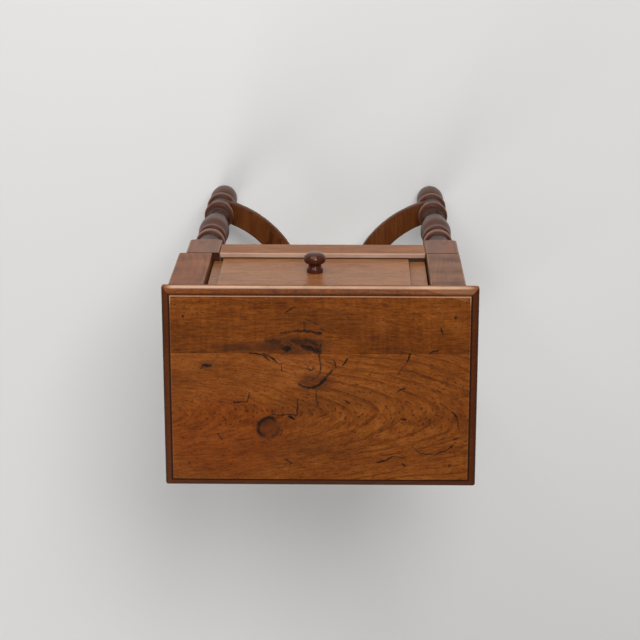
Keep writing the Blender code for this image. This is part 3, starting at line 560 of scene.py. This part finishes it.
topMarks = {
    "strokes": [
        (0.0304, 0.0007, 0.0213, 0.0045, 0.0036, 0.90), (0.0213, 0.0045, 0.0104, 0.0069, 0.0036, 0.90),
        (0.0104, 0.0069, 0.0004, 0.0021, 0.0048, 1.0), (0.0004, 0.0021, -0.0078, -0.0076, 0.0048, 1.0),
        (-0.0078, -0.0076, -0.0151, -0.0181, 0.0040, 0.85), (0.0140, -0.0036, 0.0049, -0.0084, 0.0013, 0.70),
        (0.0049, -0.0084, -0.0015, -0.0152, 0.0013, 0.70), (0.0086, 0.0079, -0.0097, 0.0107, 0.0014, 0.70),
        (-0.0097, 0.0107, -0.0215, 0.0077, 0.0014, 0.70), (0.0059, 0.0098, 0.0059, 0.0233, 0.0017, 0.70),
        (0.0059, 0.0233, 0.0022, 0.0329, 0.0017, 0.70), (-0.0006, -0.0551, 0.0013, -0.0399, 0.0024, 0.85),
        (0.0013, -0.0399, -0.0015, -0.0266, 0.0024, 0.85), (-0.0015, -0.0266, 0.0004, -0.0132, 0.0024, 0.85),
        (0.0547, -0.0488, 0.0483, -0.0558, 0.0014, 0.80), (0.0483, -0.0558, 0.0402, -0.0549, 0.0014, 0.80),
        (0.0402, -0.0549, 0.0335, -0.0479, 0.0014, 0.80), (0.0519, -0.0685, 0.0374, -0.0710, 0.0032, 0.75),
        (0.0374, -0.0710, 0.0229, -0.0729, 0.0036, 0.80), (0.0229, -0.0729, 0.0121, -0.0717, 0.0044, 0.90),
        (0.0121, -0.0717, -0.0006, -0.0687, 0.0044, 0.90), (0.0202, -0.0843, 0.0202, -0.0748, 0.0034, 0.45),
        (-0.0006, -0.0749, -0.0060, -0.0731, 0.0036, 0.55), (0.0193, -0.0875, 0.0085, -0.0843, 0.0016, 0.70),
        (0.0085, -0.0843, 0.0012, -0.0806, 0.0016, 0.70), (0.0719, -0.0585, 0.0538, -0.0564, 0.0072, 0.60),
        (0.1392, -0.0434, 0.1174, -0.0447, 0.0050, 0.32), (0.1174, -0.0447, 0.0937, -0.0486, 0.0050, 0.32),
        (0.0938, -0.0414, 0.0757, -0.0386, 0.0025, 1.0), (0.0757, -0.0386, 0.0666, -0.0320, 0.0025, 1.0),
        (0.0766, -0.0414, 0.0666, -0.0377, 0.0024, 1.0), (0.0666, -0.0377, 0.0567, -0.0292, 0.0024, 1.0),
        (0.0530, -0.0282, 0.0513, -0.0168, 0.0018, 0.70), (-0.0060, -0.0314, -0.0187, -0.0248, 0.0017, 0.70),
        (-0.0178, -0.0324, -0.0205, -0.0229, 0.0022, 0.80), (0.0375, -0.0587, 0.0194, -0.0565, 0.0080, 0.70),
        (0.0230, -0.0522, 0.0085, -0.0465, 0.0088, 0.95), (0.0085, -0.0465, 0.0004, -0.0447, 0.0088, 0.95),
        (0.0193, -0.0607, 0.0049, -0.0532, 0.0064, 0.75), (0.0484, -0.0488, 0.0402, -0.0481, 0.0085, 1.0),
        (0.1565, -0.0250, 0.1442, -0.0244, 0.0049, 0.95), (0.1589, -0.0190, 0.1537, -0.0240, 0.0021, 0.80),
        (0.1164, 0.0269, 0.0964, 0.0257, 0.0025, 0.90), (0.0964, 0.0257, 0.0934, 0.0141, 0.0023, 0.85),
        (0.0291, 0.0223, 0.0297, 0.0415, 0.0022, 0.95), (0.0297, 0.0415, 0.0326, 0.0476, 0.0018, 0.95),
        (0.0326, 0.0445, 0.0641, 0.0447, 0.0020, 0.85), (0.0421, 0.0466, 0.0345, 0.0506, 0.0042, 1.0),
        (0.0457, -0.0995, 0.0348, -0.1058, 0.0018, 0.95), (0.0509, 0.0663, 0.0528, 0.0736, 0.0020, 0.90),
        (0.0473, 0.1079, 0.0386, 0.1132, 0.0020, 0.90), (0.1372, 0.0705, 0.1316, 0.0806, 0.0025, 0.75),
        (0.1392, 0.0796, 0.0874, 0.0793, 0.0009, 0.45), (-0.1598, -0.0779, -0.1628, -0.0691, 0.0026, 0.90),
        (-0.1444, -0.0422, -0.1566, -0.0462, 0.0024, 0.90), (-0.0293, -0.0265, -0.0368, -0.0337, 0.0029, 0.95),
        (-0.1144, -0.0303, -0.1195, -0.0413, 0.0027, 1.0), (-0.1023, -0.0124, -0.1144, -0.0303, 0.0013, 0.65),
        (-0.1045, 0.0106, -0.1139, 0.0075, 0.0028, 0.90), (-0.1290, -0.0020, -0.1451, 0.0014, 0.0015, 0.55),
        (-0.1608, 0.0267, -0.1762, 0.0393, 0.0015, 0.60), (-0.1762, 0.0393, -0.1831, 0.0494, 0.0026, 0.95),
        (-0.1831, 0.0494, -0.1855, 0.0645, 0.0017, 0.75), (-0.1857, 0.0757, -0.1799, 0.0788, 0.0023, 0.80),
        (-0.1786, 0.0849, -0.1706, 0.0931, 0.0023, 0.85), (-0.1706, 0.0931, -0.1525, 0.0997, 0.0020, 0.85),
        (-0.1525, 0.0997, -0.1352, 0.0974, 0.0018, 0.75), (-0.1352, 0.0974, -0.1220, 0.0883, 0.0015, 0.65),
        (-0.1078, 0.0506, -0.1145, 0.0506, 0.0033, 0.95), (-0.0768, 0.1114, -0.0873, 0.1089, 0.0028, 0.95),
        (-0.0873, 0.1089, -0.0978, 0.1037, 0.0024, 0.95), (-0.0978, 0.1037, -0.1161, 0.1046, 0.0012, 0.60),
        (-0.1108, 0.1125, -0.1155, 0.1163, 0.0024, 0.90), (-0.0355, 0.0240, -0.0399, 0.0274, 0.0024, 0.95),
        (-0.0520, 0.0467, -0.0528, 0.0477, 0.0024, 0.85), (-0.0247, 0.0426, -0.0285, 0.0401, 0.0018, 0.75),
        (0.0030, 0.0488, -0.0104, 0.0427, 0.0013, 0.65)],
    "plugs": [  # filled nail holes and the knot's eye: x, y, radius, depth
        (0.1807, -0.0926, 0.0030, 0.85), (-0.1784, -0.0908, 0.0032, 0.85), (0.1759, 0.1136, 0.0026, 0.65),
        (-0.1748, 0.1155, 0.0030, 0.65), (0.0440, -0.0470, 0.0050, 1.0)],
    "rings": [  # x, y, radius, width, depth
        (0.0690, 0.0630, 0.0135, 0.0032, 0.95), (0.0133, -0.0217, 0.0036, 0.0012, 1.4),
        (0.0454, -0.0484, 0.0085, 0.0009, 0.6)],
    "shades": [  # x, y, half sizes, depth
        (0.030, -0.053, 0.056, 0.017, 0.95), (0.004, -0.002, 0.032, 0.016, 0.75), (0.095, -0.050, 0.06, 0.009, 0.85),
        (0.0690, 0.0630, 0.022, 0.020, 0.80), (0.0, -0.088, 0.10, 0.020, 0.25), (0.15, -0.024, 0.016, 0.009, 0.6),
        (-0.05, 0.020, 0.05, 0.018, 0.35), (0.03, 0.090, 0.12, 0.020, 0.25), (0.022, 0.033, 0.045, 0.020, 0.32),
        (0.148, 0.082, 0.06, 0.045, 0.08)],
    "tinted": [  # the same, and a tint
        (0.166, 0.019, 0.036, 0.020, 0.85, "pale"), (-0.11, 0.034, 0.05, 0.016, 0.45, "pale"),
        (-0.120, -0.092, 0.085, 0.045, 0.45, "pale"), (0.028, -0.022, 0.046, 0.034, 0.55, "heart"),
        (0.125, 0.075, 0.110, 0.070, 1.0, "red")],
    "tints": {"pale": (1.20, 1.24, 1.24), "heart": (1.32, 1.45, 2.1), "red": (0.99, 0.84, 0.70)},  # times the wood
    "dark": (0.009, 0.004, 0.002), "shade": (0.040, 0.011, 0.004), "middle": 0.001,
    "gritRate": 190.0, "gritMove": (0.0034, 0.0030), "bendRate": 55.0, "bendMove": 0.006,  # how ragged the marks are
    "strokeReach": 0.01, "taper": 0.15, "edge": 0.74, "core": 0.24}


def strokeTree():  # one stroke on the face, laid over the marks before it
    tree = bpy.data.node_groups.new("strokeOnTop", "ShaderNodeTree")
    for label in ("X", "Y", "Before", "Grit", "Mid X", "Mid Y", "Turn X", "Turn Y", "Half", "Width", "Depth"):
        tree.interface.new_socket(label, in_out="INPUT", socket_type="NodeSocketFloat")
    tree.interface.new_socket("Marks", in_out="OUTPUT", socket_type="NodeSocketFloat")
    maker = Maker(tree)
    start = {socket.name: Wire(maker, socket) for socket in tree.nodes.new("NodeGroupInput").outputs if socket.name}
    x, y, width = start["X"] - start["Mid X"], start["Y"] - start["Mid Y"], start["Width"]
    along = (x * start["Turn X"] + y * start["Turn Y"]).size()
    over = (along - start["Half"]).most(0.0)
    across = y * start["Turn X"] - x * start["Turn Y"]
    thinner = along * width * topMarks["taper"] / start["Half"]  # towards its ends
    far = (over * over + across * across).root() + thinner
    mask = far.rise(width * topMarks["edge"], width * topMarks["core"]) * start["Depth"] * (start["Grit"] * 0.9 + 0.5)
    maker.add("NodeGroupOutput", None, {0: start["Before"].most(mask)})
    return tree


def strokeSockets(stroke):
    x1, y1, x2, y2, width, depth = stroke
    length = math.hypot(x2 - x1, y2 - y1)
    return {"Mid X": (x1 + x2) / 2, "Mid Y": (y1 + y2) / 2, "Turn X": (x2 - x1) / length,
            "Turn Y": (y2 - y1) / length, "Half": length / 2, "Width": width, "Depth": depth}


def patchMask(x, y, patch):
    px, py, halfX, halfY, depth = patch
    u, v = (x - px) / halfX, (y - py) / halfY
    return (u * u + v * v).rise(1.0, 0.15) * depth


def topFinish(name, look, box, strokes):
    material, maker = newFinish(name)
    grain = grainOf(maker, look)
    x, y, z = grain["axes"]
    colour = woodTone(maker, grain, look)
    rate, slowRate = topMarks["gritRate"], topMarks["bendRate"]
    grit = maker.noise(maker.join(x * rate, y * rate, z * rate), 2.0, 0.6, 1)
    gritX, gritY, gritZ = maker.split(grit)
    slow = maker.noise(maker.join(x * slowRate, y * slowRate, z), 2.0, 0.5, 1)
    slowX, slowY, slowZ = maker.split(slow)
    moveX, moveY = topMarks["gritMove"]
    wobX = x + (gritX - 0.5) * moveX + (slowX - 0.5) * topMarks["bendMove"]
    wobY = y - topMarks["middle"] + (gritY - 0.5) * moveY + (slowY - 0.5) * topMarks["bendMove"]
    low, high = (corner.y - topMarks["middle"] for corner in box)
    onBoard = lambda item, reach: low - reach < item[1] < high + reach
    for *patch, tint in topMarks["tinted"]:
        if onBoard(patch, patch[3]):
            colour = maker.mix(patchMask(wobX, wobY, patch), colour, topMarks["tints"][tint], "MULTIPLY")
    for patch in topMarks["shades"]:
        if onBoard(patch, patch[3]):
            mask = patchMask(wobX, wobY, patch) * (slowZ * 0.9 + grain["fine"] * 0.5)
            colour = maker.mix(mask, colour, topMarks["shade"])
    marks = 0.0
    for stroke in topMarks["strokes"]:
        if onBoard(stroke, topMarks["strokeReach"]) or onBoard(stroke[2:], topMarks["strokeReach"]):
            marks = maker.add("ShaderNodeGroup", {"node_tree": strokes},
                              {"X": wobX, "Y": wobY, "Before": marks, "Grit": gritZ, **strokeSockets(stroke)})
    for px, py, radius, depth in topMarks["plugs"]:
        if onBoard((px, py), radius):
            u, v = wobX - px, wobY - py
            marks = marks.most((u * u + v * v).root().rise(radius, radius * 0.35) * depth)
    for px, py, radius, width, depth in topMarks["rings"]:
        if onBoard((px, py), radius * 2):
            u, v = wobX - px, wobY - py
            ring = ((u * u + v * v).root() - radius).size()
            marks = marks.most(ring.rise(width * 1.3, width * 0.2) * depth * (slowZ.rise(0.32, 0.60)))
    colour = maker.mix(marks, colour, topMarks["dark"])
    colour, worn = mouldWearAndLight(maker, grain, colour)
    roughness = look["rough"] + (grain["fine"] - 0.5) * 0.12 + (slowX - 0.5) * 0.14 + marks * 0.30 + worn * 0.1
    height = grain["fine"] * 0.35 - grain["pores"] * 0.4 - marks * 0.8
    closeFinish(maker, colour, roughness, height, look["bump"], {"IOR": 1.5, "Specular IOR Level": look["gloss"]})
    return material


# Wear and painted light on the moulded edge: the front round rubbed pale with a painted highlight, a painted
# highlight on the arris, painted shade on the side and rear mouldings and in the fillet with its dirt, an old repair
# at one end

# the pale and arris colours are painted highlights, the pale one with rubbed wear; the edge and dirt colours paint
# shade, the dirt one with some dirt
mouldLook = {"pale": (0.52, 0.325, 0.215), "arris": (0.68, 0.43, 0.29), "dirtAndShade": (0.022, 0.008, 0.004),
             "edge": (0.058, 0.013, 0.003), "repair": (0.30, 0.130, 0.050),
             "repairLine": (-0.1224, -0.1333, -0.1976, -0.1110), "repairFade": 0.010,
             "rubHighlightIn": (0.0034, 0.0014), "rubHighlightUp": (-0.0010, 0.0016), "rubHighlightEnds": (0.002, 0.016),
             "outer": (0.0036, 0.0010), "groove": (-0.0010, 0.0017, 0.0007), "line": (0.0010, 0.0009, 0.0002)}


def mouldWearAndLight(maker, grain, colour):
    x, y, z = grain["axes"]
    low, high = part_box("top_board_front")[0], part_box("top_board_rear")[1]
    width = top["mouldWidth"]
    inX = (high.x - low.x) / 2 - x.size()
    inFront, inRear = y - low.y, high.y - y
    inAny = inX.least(inFront).least(inRear)
    patchy = grain["mottle"].rise(0.28, 0.62)
    band = inAny.rise(width + 0.0006, width - 0.0004)
    mitre = (inFront - inX).rise(-0.0004, 0.0006)  # 0 on the front moulding, 1 on the others
    # painted shade: the side and rear mouldings, turned away from the light, darker than the front one
    colour = maker.mix(band * (mitre * 0.65 + 0.15), colour, mouldLook["edge"])
    x1, y1, x2, y2 = mouldLook["repairLine"]
    fade = mouldLook["repairFade"]
    side = (x - x1) * (y2 - y1) - (y - topMarks["middle"] - y1) * (x2 - x1)  # which side of the repair's joint
    repair = side.rise(0.00003, -0.00003) * x.rise(x1 + fade, x1 - fade)
    colour = maker.mix(repair * (1 - mitre) * 0.30, colour, mouldLook["repair"])
    joint = side.size().rise(0.000045, 0.000012) * x.rise(x1 + 0.002, x1) * x.rise(x2 - 0.002, x2)
    colour = maker.mix(joint * 0.7, colour, topMarks["dark"])
    crown = high.z - top["fillet"] - top["drop"]
    rubHighlightUp = [crown + height for height in mouldLook["rubHighlightUp"]]
    # painted highlight with rubbed wear: the front round's crown painted pale where the lit round catches the light
    frontRubHighlight = inFront.rise(*mouldLook["rubHighlightIn"]) * z.rise(*rubHighlightUp) * inX.rise(*mouldLook["rubHighlightEnds"])
    worn = frontRubHighlight * (patchy * 0.45 + 0.40)
    colour = maker.mix(worn, colour, mouldLook["pale"])
    # painted shade along the outer edge of the side and rear mouldings
    outer = inAny.rise(*mouldLook["outer"]) * mitre
    colour = maker.mix(outer * 0.6, colour, mouldLook["dirtAndShade"])
    place, wide, core = mouldLook["groove"]  # painted shade, with dirt, along the foot of the fillet
    dirtAndShade = (inAny - (width + place)).size().rise(wide, core)
    colour = maker.mix(dirtAndShade * (mitre * 0.34 + 0.6), colour, mouldLook["dirtAndShade"])
    place, wide, core = mouldLook["line"]  # and a painted highlight on the arris inside it, mostly in front, none at the rear
    frontHighlightShare = inFront.rise(0.03, 0.012)
    line = (inAny - (width + place)).size().rise(wide, core) * (frontHighlightShare * 0.42 + 0.04)
    colour = maker.mix(line * inRear.rise(0.012, 0.03), colour, mouldLook["arris"])
    return colour, worn


# Finishes of the case, legs and inside

# the rubbed colour is wear; the dirt colour and its line paint shade, with dirt, along the foot of the drawer front
ledgeLook = {"rubbed": (0.50, 0.34, 0.26), "dirtAndShade": (0.022, 0.008, 0.004), "top": (0.0013, 0.0004),
             "shadeLine": (0.0019, 0.0007)}


def ledgeWearAndShade(maker, grain, colour):  # the rail's ledge is rubbed pale, with a line of painted shade and dirt along the foot of the drawer front
    x, y, z = grain["axes"]
    ledge = z.rise(*(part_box("front_rail")[1].z - depth for depth in ledgeLook["top"]))
    colour = maker.mix(ledge * (grain["mottle"].rise(0.25, 0.6) * 0.45 + 0.25), colour, ledgeLook["rubbed"])
    # painted shade, with dirt: a dark line on the ledge along the foot of the drawer front, in the gap under it
    line = ledge * y.rise(*(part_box("drawer_front")[0].y - reach for reach in ledgeLook["shadeLine"]))
    return maker.mix(line * 0.95, colour, ledgeLook["dirtAndShade"])


blockLook = {"from": (0.392, 0.400), "dark": (0.078, 0.023, 0.009), "light": (0.208, 0.077, 0.034),
             "pore": (0.040, 0.012, 0.005), "arris": (0.30, 0.15, 0.085), "arrisAt": (0.0300, 0.0326),
             "arrisFrom": (0.400, 0.408)}
# the groove and crest colours are painted shade and a painted highlight; the darkening colour darkens the feet and
# the end grain under the posts
turnedLook = {"below": (0.392, 0.384), "grooveAt": (0.0206, 0.0176), "groove": (0.016, 0.004, 0.002),
              "upperCrest": (0.0208, 0.0219), "upperFrom": (0.2905, 0.2930), "lowerCrest": (0.0222, 0.0231),
              "lowerBelow": (0.165, 0.160), "crestHighlight": (0.27, 0.14, 0.09), "footBelow": (0.075, 0.020),
              "endGrainShade": (0.0010, 0.0003), "darkening": (0.026, 0.008, 0.004), "polishAt": (0.0180, 0.0168),
              "polish": -0.18}


def blockWood(maker, grain):  # the square block of a leg, lighter than its turnings and rubbed on its arrises
    tone = ((grain["fine"] - 0.5) * 1.3 + (grain["cloud"] - 0.5) * 0.8 + (grain["mottle"] - 0.5) * 1.0
            - grain["late"] * 0.3 + 0.55)
    colour = maker.mix(tone, blockLook["dark"], blockLook["light"])
    colour = maker.mix(grain["pores"] * 0.5, colour, blockLook["pore"])
    rubbed = (grain["girth"].rise(*blockLook["arrisAt"]) * grain["axes"][2].rise(*blockLook["arrisFrom"])
              * grain["mottle"].rise(0.25, 0.6))
    return maker.mix(rubbed * 0.5, colour, blockLook["arris"])


def legWearAndLight(maker, grain, colour):  # necks and grooves darkened as painted shade with old polish and dirt, crests painted pale as a highlight, feet and the end grain under the posts darker
    z, girth = grain["axes"][2], grain["girth"]
    below = z.rise(*turnedLook["below"])  # 1 on the turnings, 0 on the block
    # painted shade, with dirt and old polish, darkening the necks and grooves
    dirtAndShade = girth.rise(*turnedLook["grooveAt"]) * below * (grain["cloud"] * 0.6 + 0.5)
    colour = maker.mix(dirtAndShade * 0.85, colour, turnedLook["groove"])
    # painted highlight: thin pale lines along the crests of the rings
    upper = girth.rise(*turnedLook["upperCrest"]) * z.rise(*turnedLook["upperFrom"]) * below  # rings over the vase
    lower = girth.rise(*turnedLook["lowerCrest"]) * z.rise(*turnedLook["lowerBelow"])  # and under it
    colour = maker.mix((upper + lower) * grain["mottle"].rise(0.25, 0.55) * 0.5, colour, turnedLook["crestHighlight"])
    colour = maker.mix(z.rise(*blockLook["from"]) * 0.85, colour, blockWood(maker, grain))
    endGrainShade = z.rise(*(leg["blockTop"] - depth for depth in turnedLook["endGrainShade"]))  # painted shade on the end grain under the posts
    # the feet darker towards the floor, and the end grain under the posts darkened
    darkened = z.rise(*turnedLook["footBelow"]) * 0.45 + endGrainShade * 0.85
    return maker.mix(darkened, colour, turnedLook["darkening"])


def neckPolish(grain):  # the necks keep their polish, the rest of a leg is rubbed duller
    neck = grain["girth"].rise(*turnedLook["polishAt"]) * grain["axes"][2].rise(*turnedLook["below"])
    return neck * turnedLook["polish"]


# the tint darkens the margins, with painted shade towards the field; the dirt colour is a line of painted shade and
# dirt along the field
drawerFace = {"margins": (0.0229, 0.0134), "raise": 0.004, "tint": (0.15, 0.056, 0.022),
              "dirtAndShade": (0.035, 0.012, 0.006)}


def marginToneAndShade(maker, grain, colour):  # the drawer front's set-back margins are a little darker, with painted shade deepening towards the field and a line of painted shade and dirt along it
    x, y, z = grain["axes"]
    low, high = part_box("drawer_front")
    margin = y.rise(low.y + drawerFace["raise"] * 0.4, low.y + drawerFace["raise"] * 0.9)
    inLeft = low.x + drawerFace["margins"][0] - x
    inRight = x - high.x + drawerFace["margins"][1]
    edge = inLeft.most(inRight)  # how far a point of a margin is from the field
    # painted shade: the margins a little darker, more so towards the field's raised edge
    colour = maker.mix(margin * (edge.rise(0.012, 0.0) * 0.45 + 0.2), colour, drawerFace["tint"])
    # a line of painted shade and dirt in the corner along the field
    return maker.mix(edge.size().rise(0.0014, 0.0004) * margin * 0.7, colour, drawerFace["dirtAndShade"])


caseTones = {"dark": (0.105, 0.033, 0.010), "mid": (0.185, 0.068, 0.024), "light": (0.270, 0.115, 0.046),
             "streak": 0.6, "poreDepth": 0.35, "rough": 0.44, "gloss": 0.12}
postTones = {"dark": (0.075, 0.022, 0.008), "mid": (0.155, 0.050, 0.019), "light": (0.225, 0.084, 0.035),
             "streak": 0.7, "poreDepth": 0.35, "rough": 0.44, "gloss": 0.12, "ripple": 1.1, "rippleRate": (36.0, 9.0)}
greyPost = {**postTones, "dark": (0.066, 0.023, 0.011), "mid": (0.152, 0.061, 0.028), "light": (0.232, 0.108, 0.055),
            "ripple": 1.7, "gloss": 0.15}
frontRail = {**caseTones, "dark": (0.118, 0.037, 0.011), "mid": (0.208, 0.077, 0.027), "light": (0.303, 0.129, 0.052)}
legTones = {"dark": (0.026, 0.007, 0.003), "mid": (0.070, 0.020, 0.008), "light": (0.118, 0.038, 0.015),
            "pore": (0.030, 0.009, 0.004), "poreDepth": 0.12, "streak": 0.3, "cloud": 0.6, "bump": 0.00005}
knobTones = {**legTones, "dark": (0.024, 0.005, 0.002), "mid": (0.050, 0.010, 0.004), "light": (0.085, 0.021, 0.008)}
stretcherTones = {"dark": (0.042, 0.010, 0.002), "mid": (0.084, 0.023, 0.005), "light": (0.125, 0.040, 0.010),
                  "pore": (0.020, 0.006, 0.002)}
drawerTones = {"dark": (0.145, 0.050, 0.014), "mid": (0.235, 0.090, 0.030), "light": (0.315, 0.140, 0.055),
               "streak": 0.55, "poreDepth": 0.35}
bareTones = {"dark": (0.26, 0.155, 0.075), "mid": (0.42, 0.275, 0.150), "light": (0.54, 0.385, 0.235),
             "pore": (0.20, 0.115, 0.055), "rough": 0.68, "gloss": 0.25}
eases = {"case": 0.0012, "drawerFront": 0.0010, "drawer": 0.0006, "screw": 0.0004}  # rounded arrises


def visibleBox(node, axis, left, right):  # a rail's box without its tenons
    low, high = (Vector(corner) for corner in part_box(node))
    low[axis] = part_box(left)[1][axis]
    high[axis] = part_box(right)[0][axis]
    return low, high


def dressNode(node, material, ease=0.0):
    piece = nodes[node]
    piece.data.materials.clear()
    piece.data.materials.append(material)
    if ease:
        weld = piece.modifiers.new("weld", "WELD")
        weld.merge_threshold = 0.00002
        edges = piece.modifiers.new("ease", "BEVEL")
        edges.width = ease
        edges.segments = 2
        edges.limit_method = "ANGLE"
        edges.angle_limit = math.radians(40)


def dressCase():
    for i, node in enumerate(sorted(name for name in nodes if name.startswith("corner_post"))):
        tones = greyPost if node == "corner_post_front_left" else postTones
        finish = look(grain="z", seed=3.1 * i + 1.7, pith=(0.10 - 0.03 * i, 0.16), ring=0.0042, **tones)
        dressNode(node, woodFinish(node + "_wood", finish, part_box(node)), eases["case"])
    rails = {"front_rail": ("x", 0, "leg_front_left", "leg_front_right"),
             "rear_rail": ("x", 0, "leg_rear_left", "leg_rear_right"),
             "front_top_rail": ("x", 0, "corner_post_front_left", "corner_post_front_right"),
             "side_rail_left": ("y", 1, "leg_front_left", "leg_rear_left"),
             "side_rail_right": ("y", 1, "leg_front_right", "leg_rear_right")}
    for i, (node, (grainAxis, axis, left, right)) in enumerate(rails.items()):
        tones = frontRail if node == "front_rail" else caseTones
        finish = look(grain=grainAxis, seed=2.3 * i + 4.1, pith=(0.1, 0.30), ring=0.0040, **tones)
        if node == "front_rail":
            finish["worn"] = ledgeWearAndShade
        dressNode(node, woodFinish(node + "_wood", finish, visibleBox(node, axis, left, right)), eases["case"])
    panels = {"side_panel_left": "y", "side_panel_right": "y", "back_panel": "x"}
    for i, (node, grainAxis) in enumerate(panels.items()):
        finish = look(grain=grainAxis, seed=1.9 * i + 8.3, pith=(0.02, 0.50), tilt=0.12, ring=0.0050, **caseTones)
        dressNode(node, woodFinish(node + "_wood", finish))
    finish = look(grain="x", seed=6.6, pith=(0.05, 0.30), tilt=0.04, ring=0.0046, rough=0.30, ringDepth=0.18,
                  wearDepth=0.3, worn=marginToneAndShade, **drawerTones)
    dressNode("drawer_front", woodFinish("drawer_front_wood", finish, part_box("drawer_front")), eases["drawerFront"])
    print("case dressed")


steelLook = {"dark": (0.20, 0.185, 0.17), "light": (0.38, 0.365, 0.345), "rate": 900.0, "rough": 0.38, "bump": 0.0001}


def steelFinish(name):
    material, maker = newFinish(name)
    place = maker.add("ShaderNodeTexCoord", None, None, 3)
    grit = maker.noise(maker.join(*(axis * steelLook["rate"] for axis in maker.split(place))), 3.0)
    colour = maker.mix(grit.rise(0.35, 0.7), steelLook["dark"], steelLook["light"])
    closeFinish(maker, colour, steelLook["rough"] + grit * 0.25, grit, steelLook["bump"], {"Metallic": 1.0})
    return material


def dressInside():
    along = {"x": ("drawer_back", "drawer_bottom", "top_tie_front", "top_tie_rear"),
             "y": ("drawer_side_left", "drawer_side_right", "drawer_runner_left", "drawer_runner_right",
                   "drawer_guide_left", "drawer_guide_right", "drawer_stop_left", "drawer_stop_right"),
             "z": ("post_dowel", "stretcher_peg", "crossbar_peg")}
    for i, (grainAxis, starts) in enumerate(along.items()):
        finish = woodFinish("bareWood_" + grainAxis, look(grain=grainAxis, seed=5.0 + 3.7 * i, pith=(0.03, 0.2),
                                                          ring=0.0055, **bareTones))
        for node in nodes:
            if node.startswith(starts):
                dressNode(node, finish, eases["drawer"] if node.startswith("drawer") else 0.0)
    steel = steelFinish("screwSteel")
    for node in nodes:
        if "screw" in node:
            dressNode(node, steel, eases["screw"])
    print("inside dressed")


low, high = legCentres()
legFold = ((abs(high.x), (high.y - low.y) / 2), (low.y + high.y) / 2)
legLook = look(grain="z", seed=9.4, fold=legFold, pith=(0.006, 0.050), ring=0.0045, wander=0.012, rough=0.34,
               gloss=0.13, worn=legWearAndLight, polish=neckPolish, **legTones)
knobLook = look(grain="y", seed=3.3, pith=(0.03, 0.56), rough=0.14, gloss=0.25, **knobTones)
stretcherLook = look(grain="y", seed=4.8, pith=(0.1, 0.30), ringDepth=0.10, gloss=0.08, **stretcherTones)
topTones = {"run": 66.0, "streak": 1.6, "poreDepth": 0.85, "rough": 0.40, "gloss": 0.10}
frontTones = {**topTones, "dark": (0.062, 0.014, 0.002), "mid": (0.138, 0.034, 0.003), "light": (0.208, 0.058, 0.008)}
rearTones = {**topTones, "dark": (0.072, 0.017, 0.003), "mid": (0.160, 0.041, 0.005), "light": (0.240, 0.070, 0.011)}
frontBoard = look(seed=2.2, pith=(-0.42, 0.42), tilt=0.02, ring=0.0052, ringDepth=0.18, wander=0.05, ripple=0.55,
                  **frontTones)
rearBoard = look(seed=7.7, pith=(0.044, 0.620), tilt=-0.17, ring=0.0068, ringDepth=0.50, wander=0.026,
                 quiet=(0.13, -0.06), **rearTones)

makeLegs(woodFinish("legWood", legLook))
makeKnob(woodFinish("knobWood", knobLook))
makeStretcher(woodFinish("stretcherWood", stretcherLook))
strokes = strokeTree()
makeTop({"topBoardFront": topFinish("topBoardFrontWood", frontBoard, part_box("top_board_front"), strokes),
         "topBoardRear": topFinish("topBoardRearWood", rearBoard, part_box("top_board_rear"), strokes)})
print("turned and moulded pieces made")
dressCase()
dressInside()


# Stage: pale floor, soft light from the front, above and behind, camera as in the photograph

stage = {"floorSize": 40.0, "floorColour": (0.66, 0.65, 0.635), "floorCloud": (0.70, 0.69, 0.67),
         "sky": (0.95, 0.97, 1.0), "skyStrength": 0.30}
lamps = {"frontSoft": {"place": (0.5, -2.6, 1.7), "aim": (0.0, 0.0, 0.45), "size": 2.4, "power": 60.0},
         "overSoft": {"place": (-0.5, -1.5, 3.2), "aim": (0.0, 0.0, 0.6), "size": 1.0, "power": 56.0},
         "backSoft": {"place": (1.6, 2.2, 1.8), "aim": (0.0, 0.0, 0.4), "size": 2.0, "power": 34.0}}
camera = {"place": (-0.0416, -0.7762, 3.0236), "lens": 104.68, "sensor": 36.0,
          "right": (-0.99984530, 0.00046761, -0.01758276), "up": (0.00449820, -0.95959390, -0.28130417)}


def setStage():
    half = stage["floorSize"] / 2
    mesh = bpy.data.meshes.new("paleFloor")
    mesh.from_pydata([(-half, -half, 0), (half, -half, 0), (half, half, 0), (-half, half, 0)], [], [(0, 1, 2, 3)])
    floor = placed("paleFloor", mesh)
    material, maker = newFinish("floorPaint")
    place = maker.add("ShaderNodeTexCoord", None, None, 3)
    cloud = maker.noise(place, 3.0)
    colour = maker.mix(cloud * 0.06, stage["floorColour"], stage["floorCloud"])
    closeFinish(maker, colour, 0.6 + cloud * 0.1, cloud, 0.0001, {"Specular IOR Level": 0.2})
    mesh.materials.append(material)
    world = bpy.data.worlds.new("softSky")
    bpy.context.scene.world = world
    world.use_nodes = True
    sky = world.node_tree.nodes["Background"]
    sky.inputs["Color"].default_value = (*stage["sky"], 1.0)
    sky.inputs["Strength"].default_value = stage["skyStrength"]
    for name, lamp in lamps.items():
        data = bpy.data.lights.new(name, "AREA")
        data.size = lamp["size"]
        data.energy = lamp["power"]
        light = placed(name, data)
        light.location = lamp["place"]
        light.rotation_euler = (Vector(lamp["aim"]) - light.location).to_track_quat("-Z", "Y").to_euler()
    eye = placed("photoCamera", bpy.data.cameras.new("photoCamera"))
    eye.data.lens = camera["lens"]
    eye.data.sensor_width = camera["sensor"]
    right, up = Vector(camera["right"]), Vector(camera["up"])
    turn = Matrix((right, up, right.cross(up))).transposed().to_4x4()
    eye.matrix_world = Matrix.Translation(camera["place"]) @ turn
    bpy.context.scene.camera = eye
    bpy.context.scene.view_settings.view_transform = "Standard"


setStage()
print("stage set")
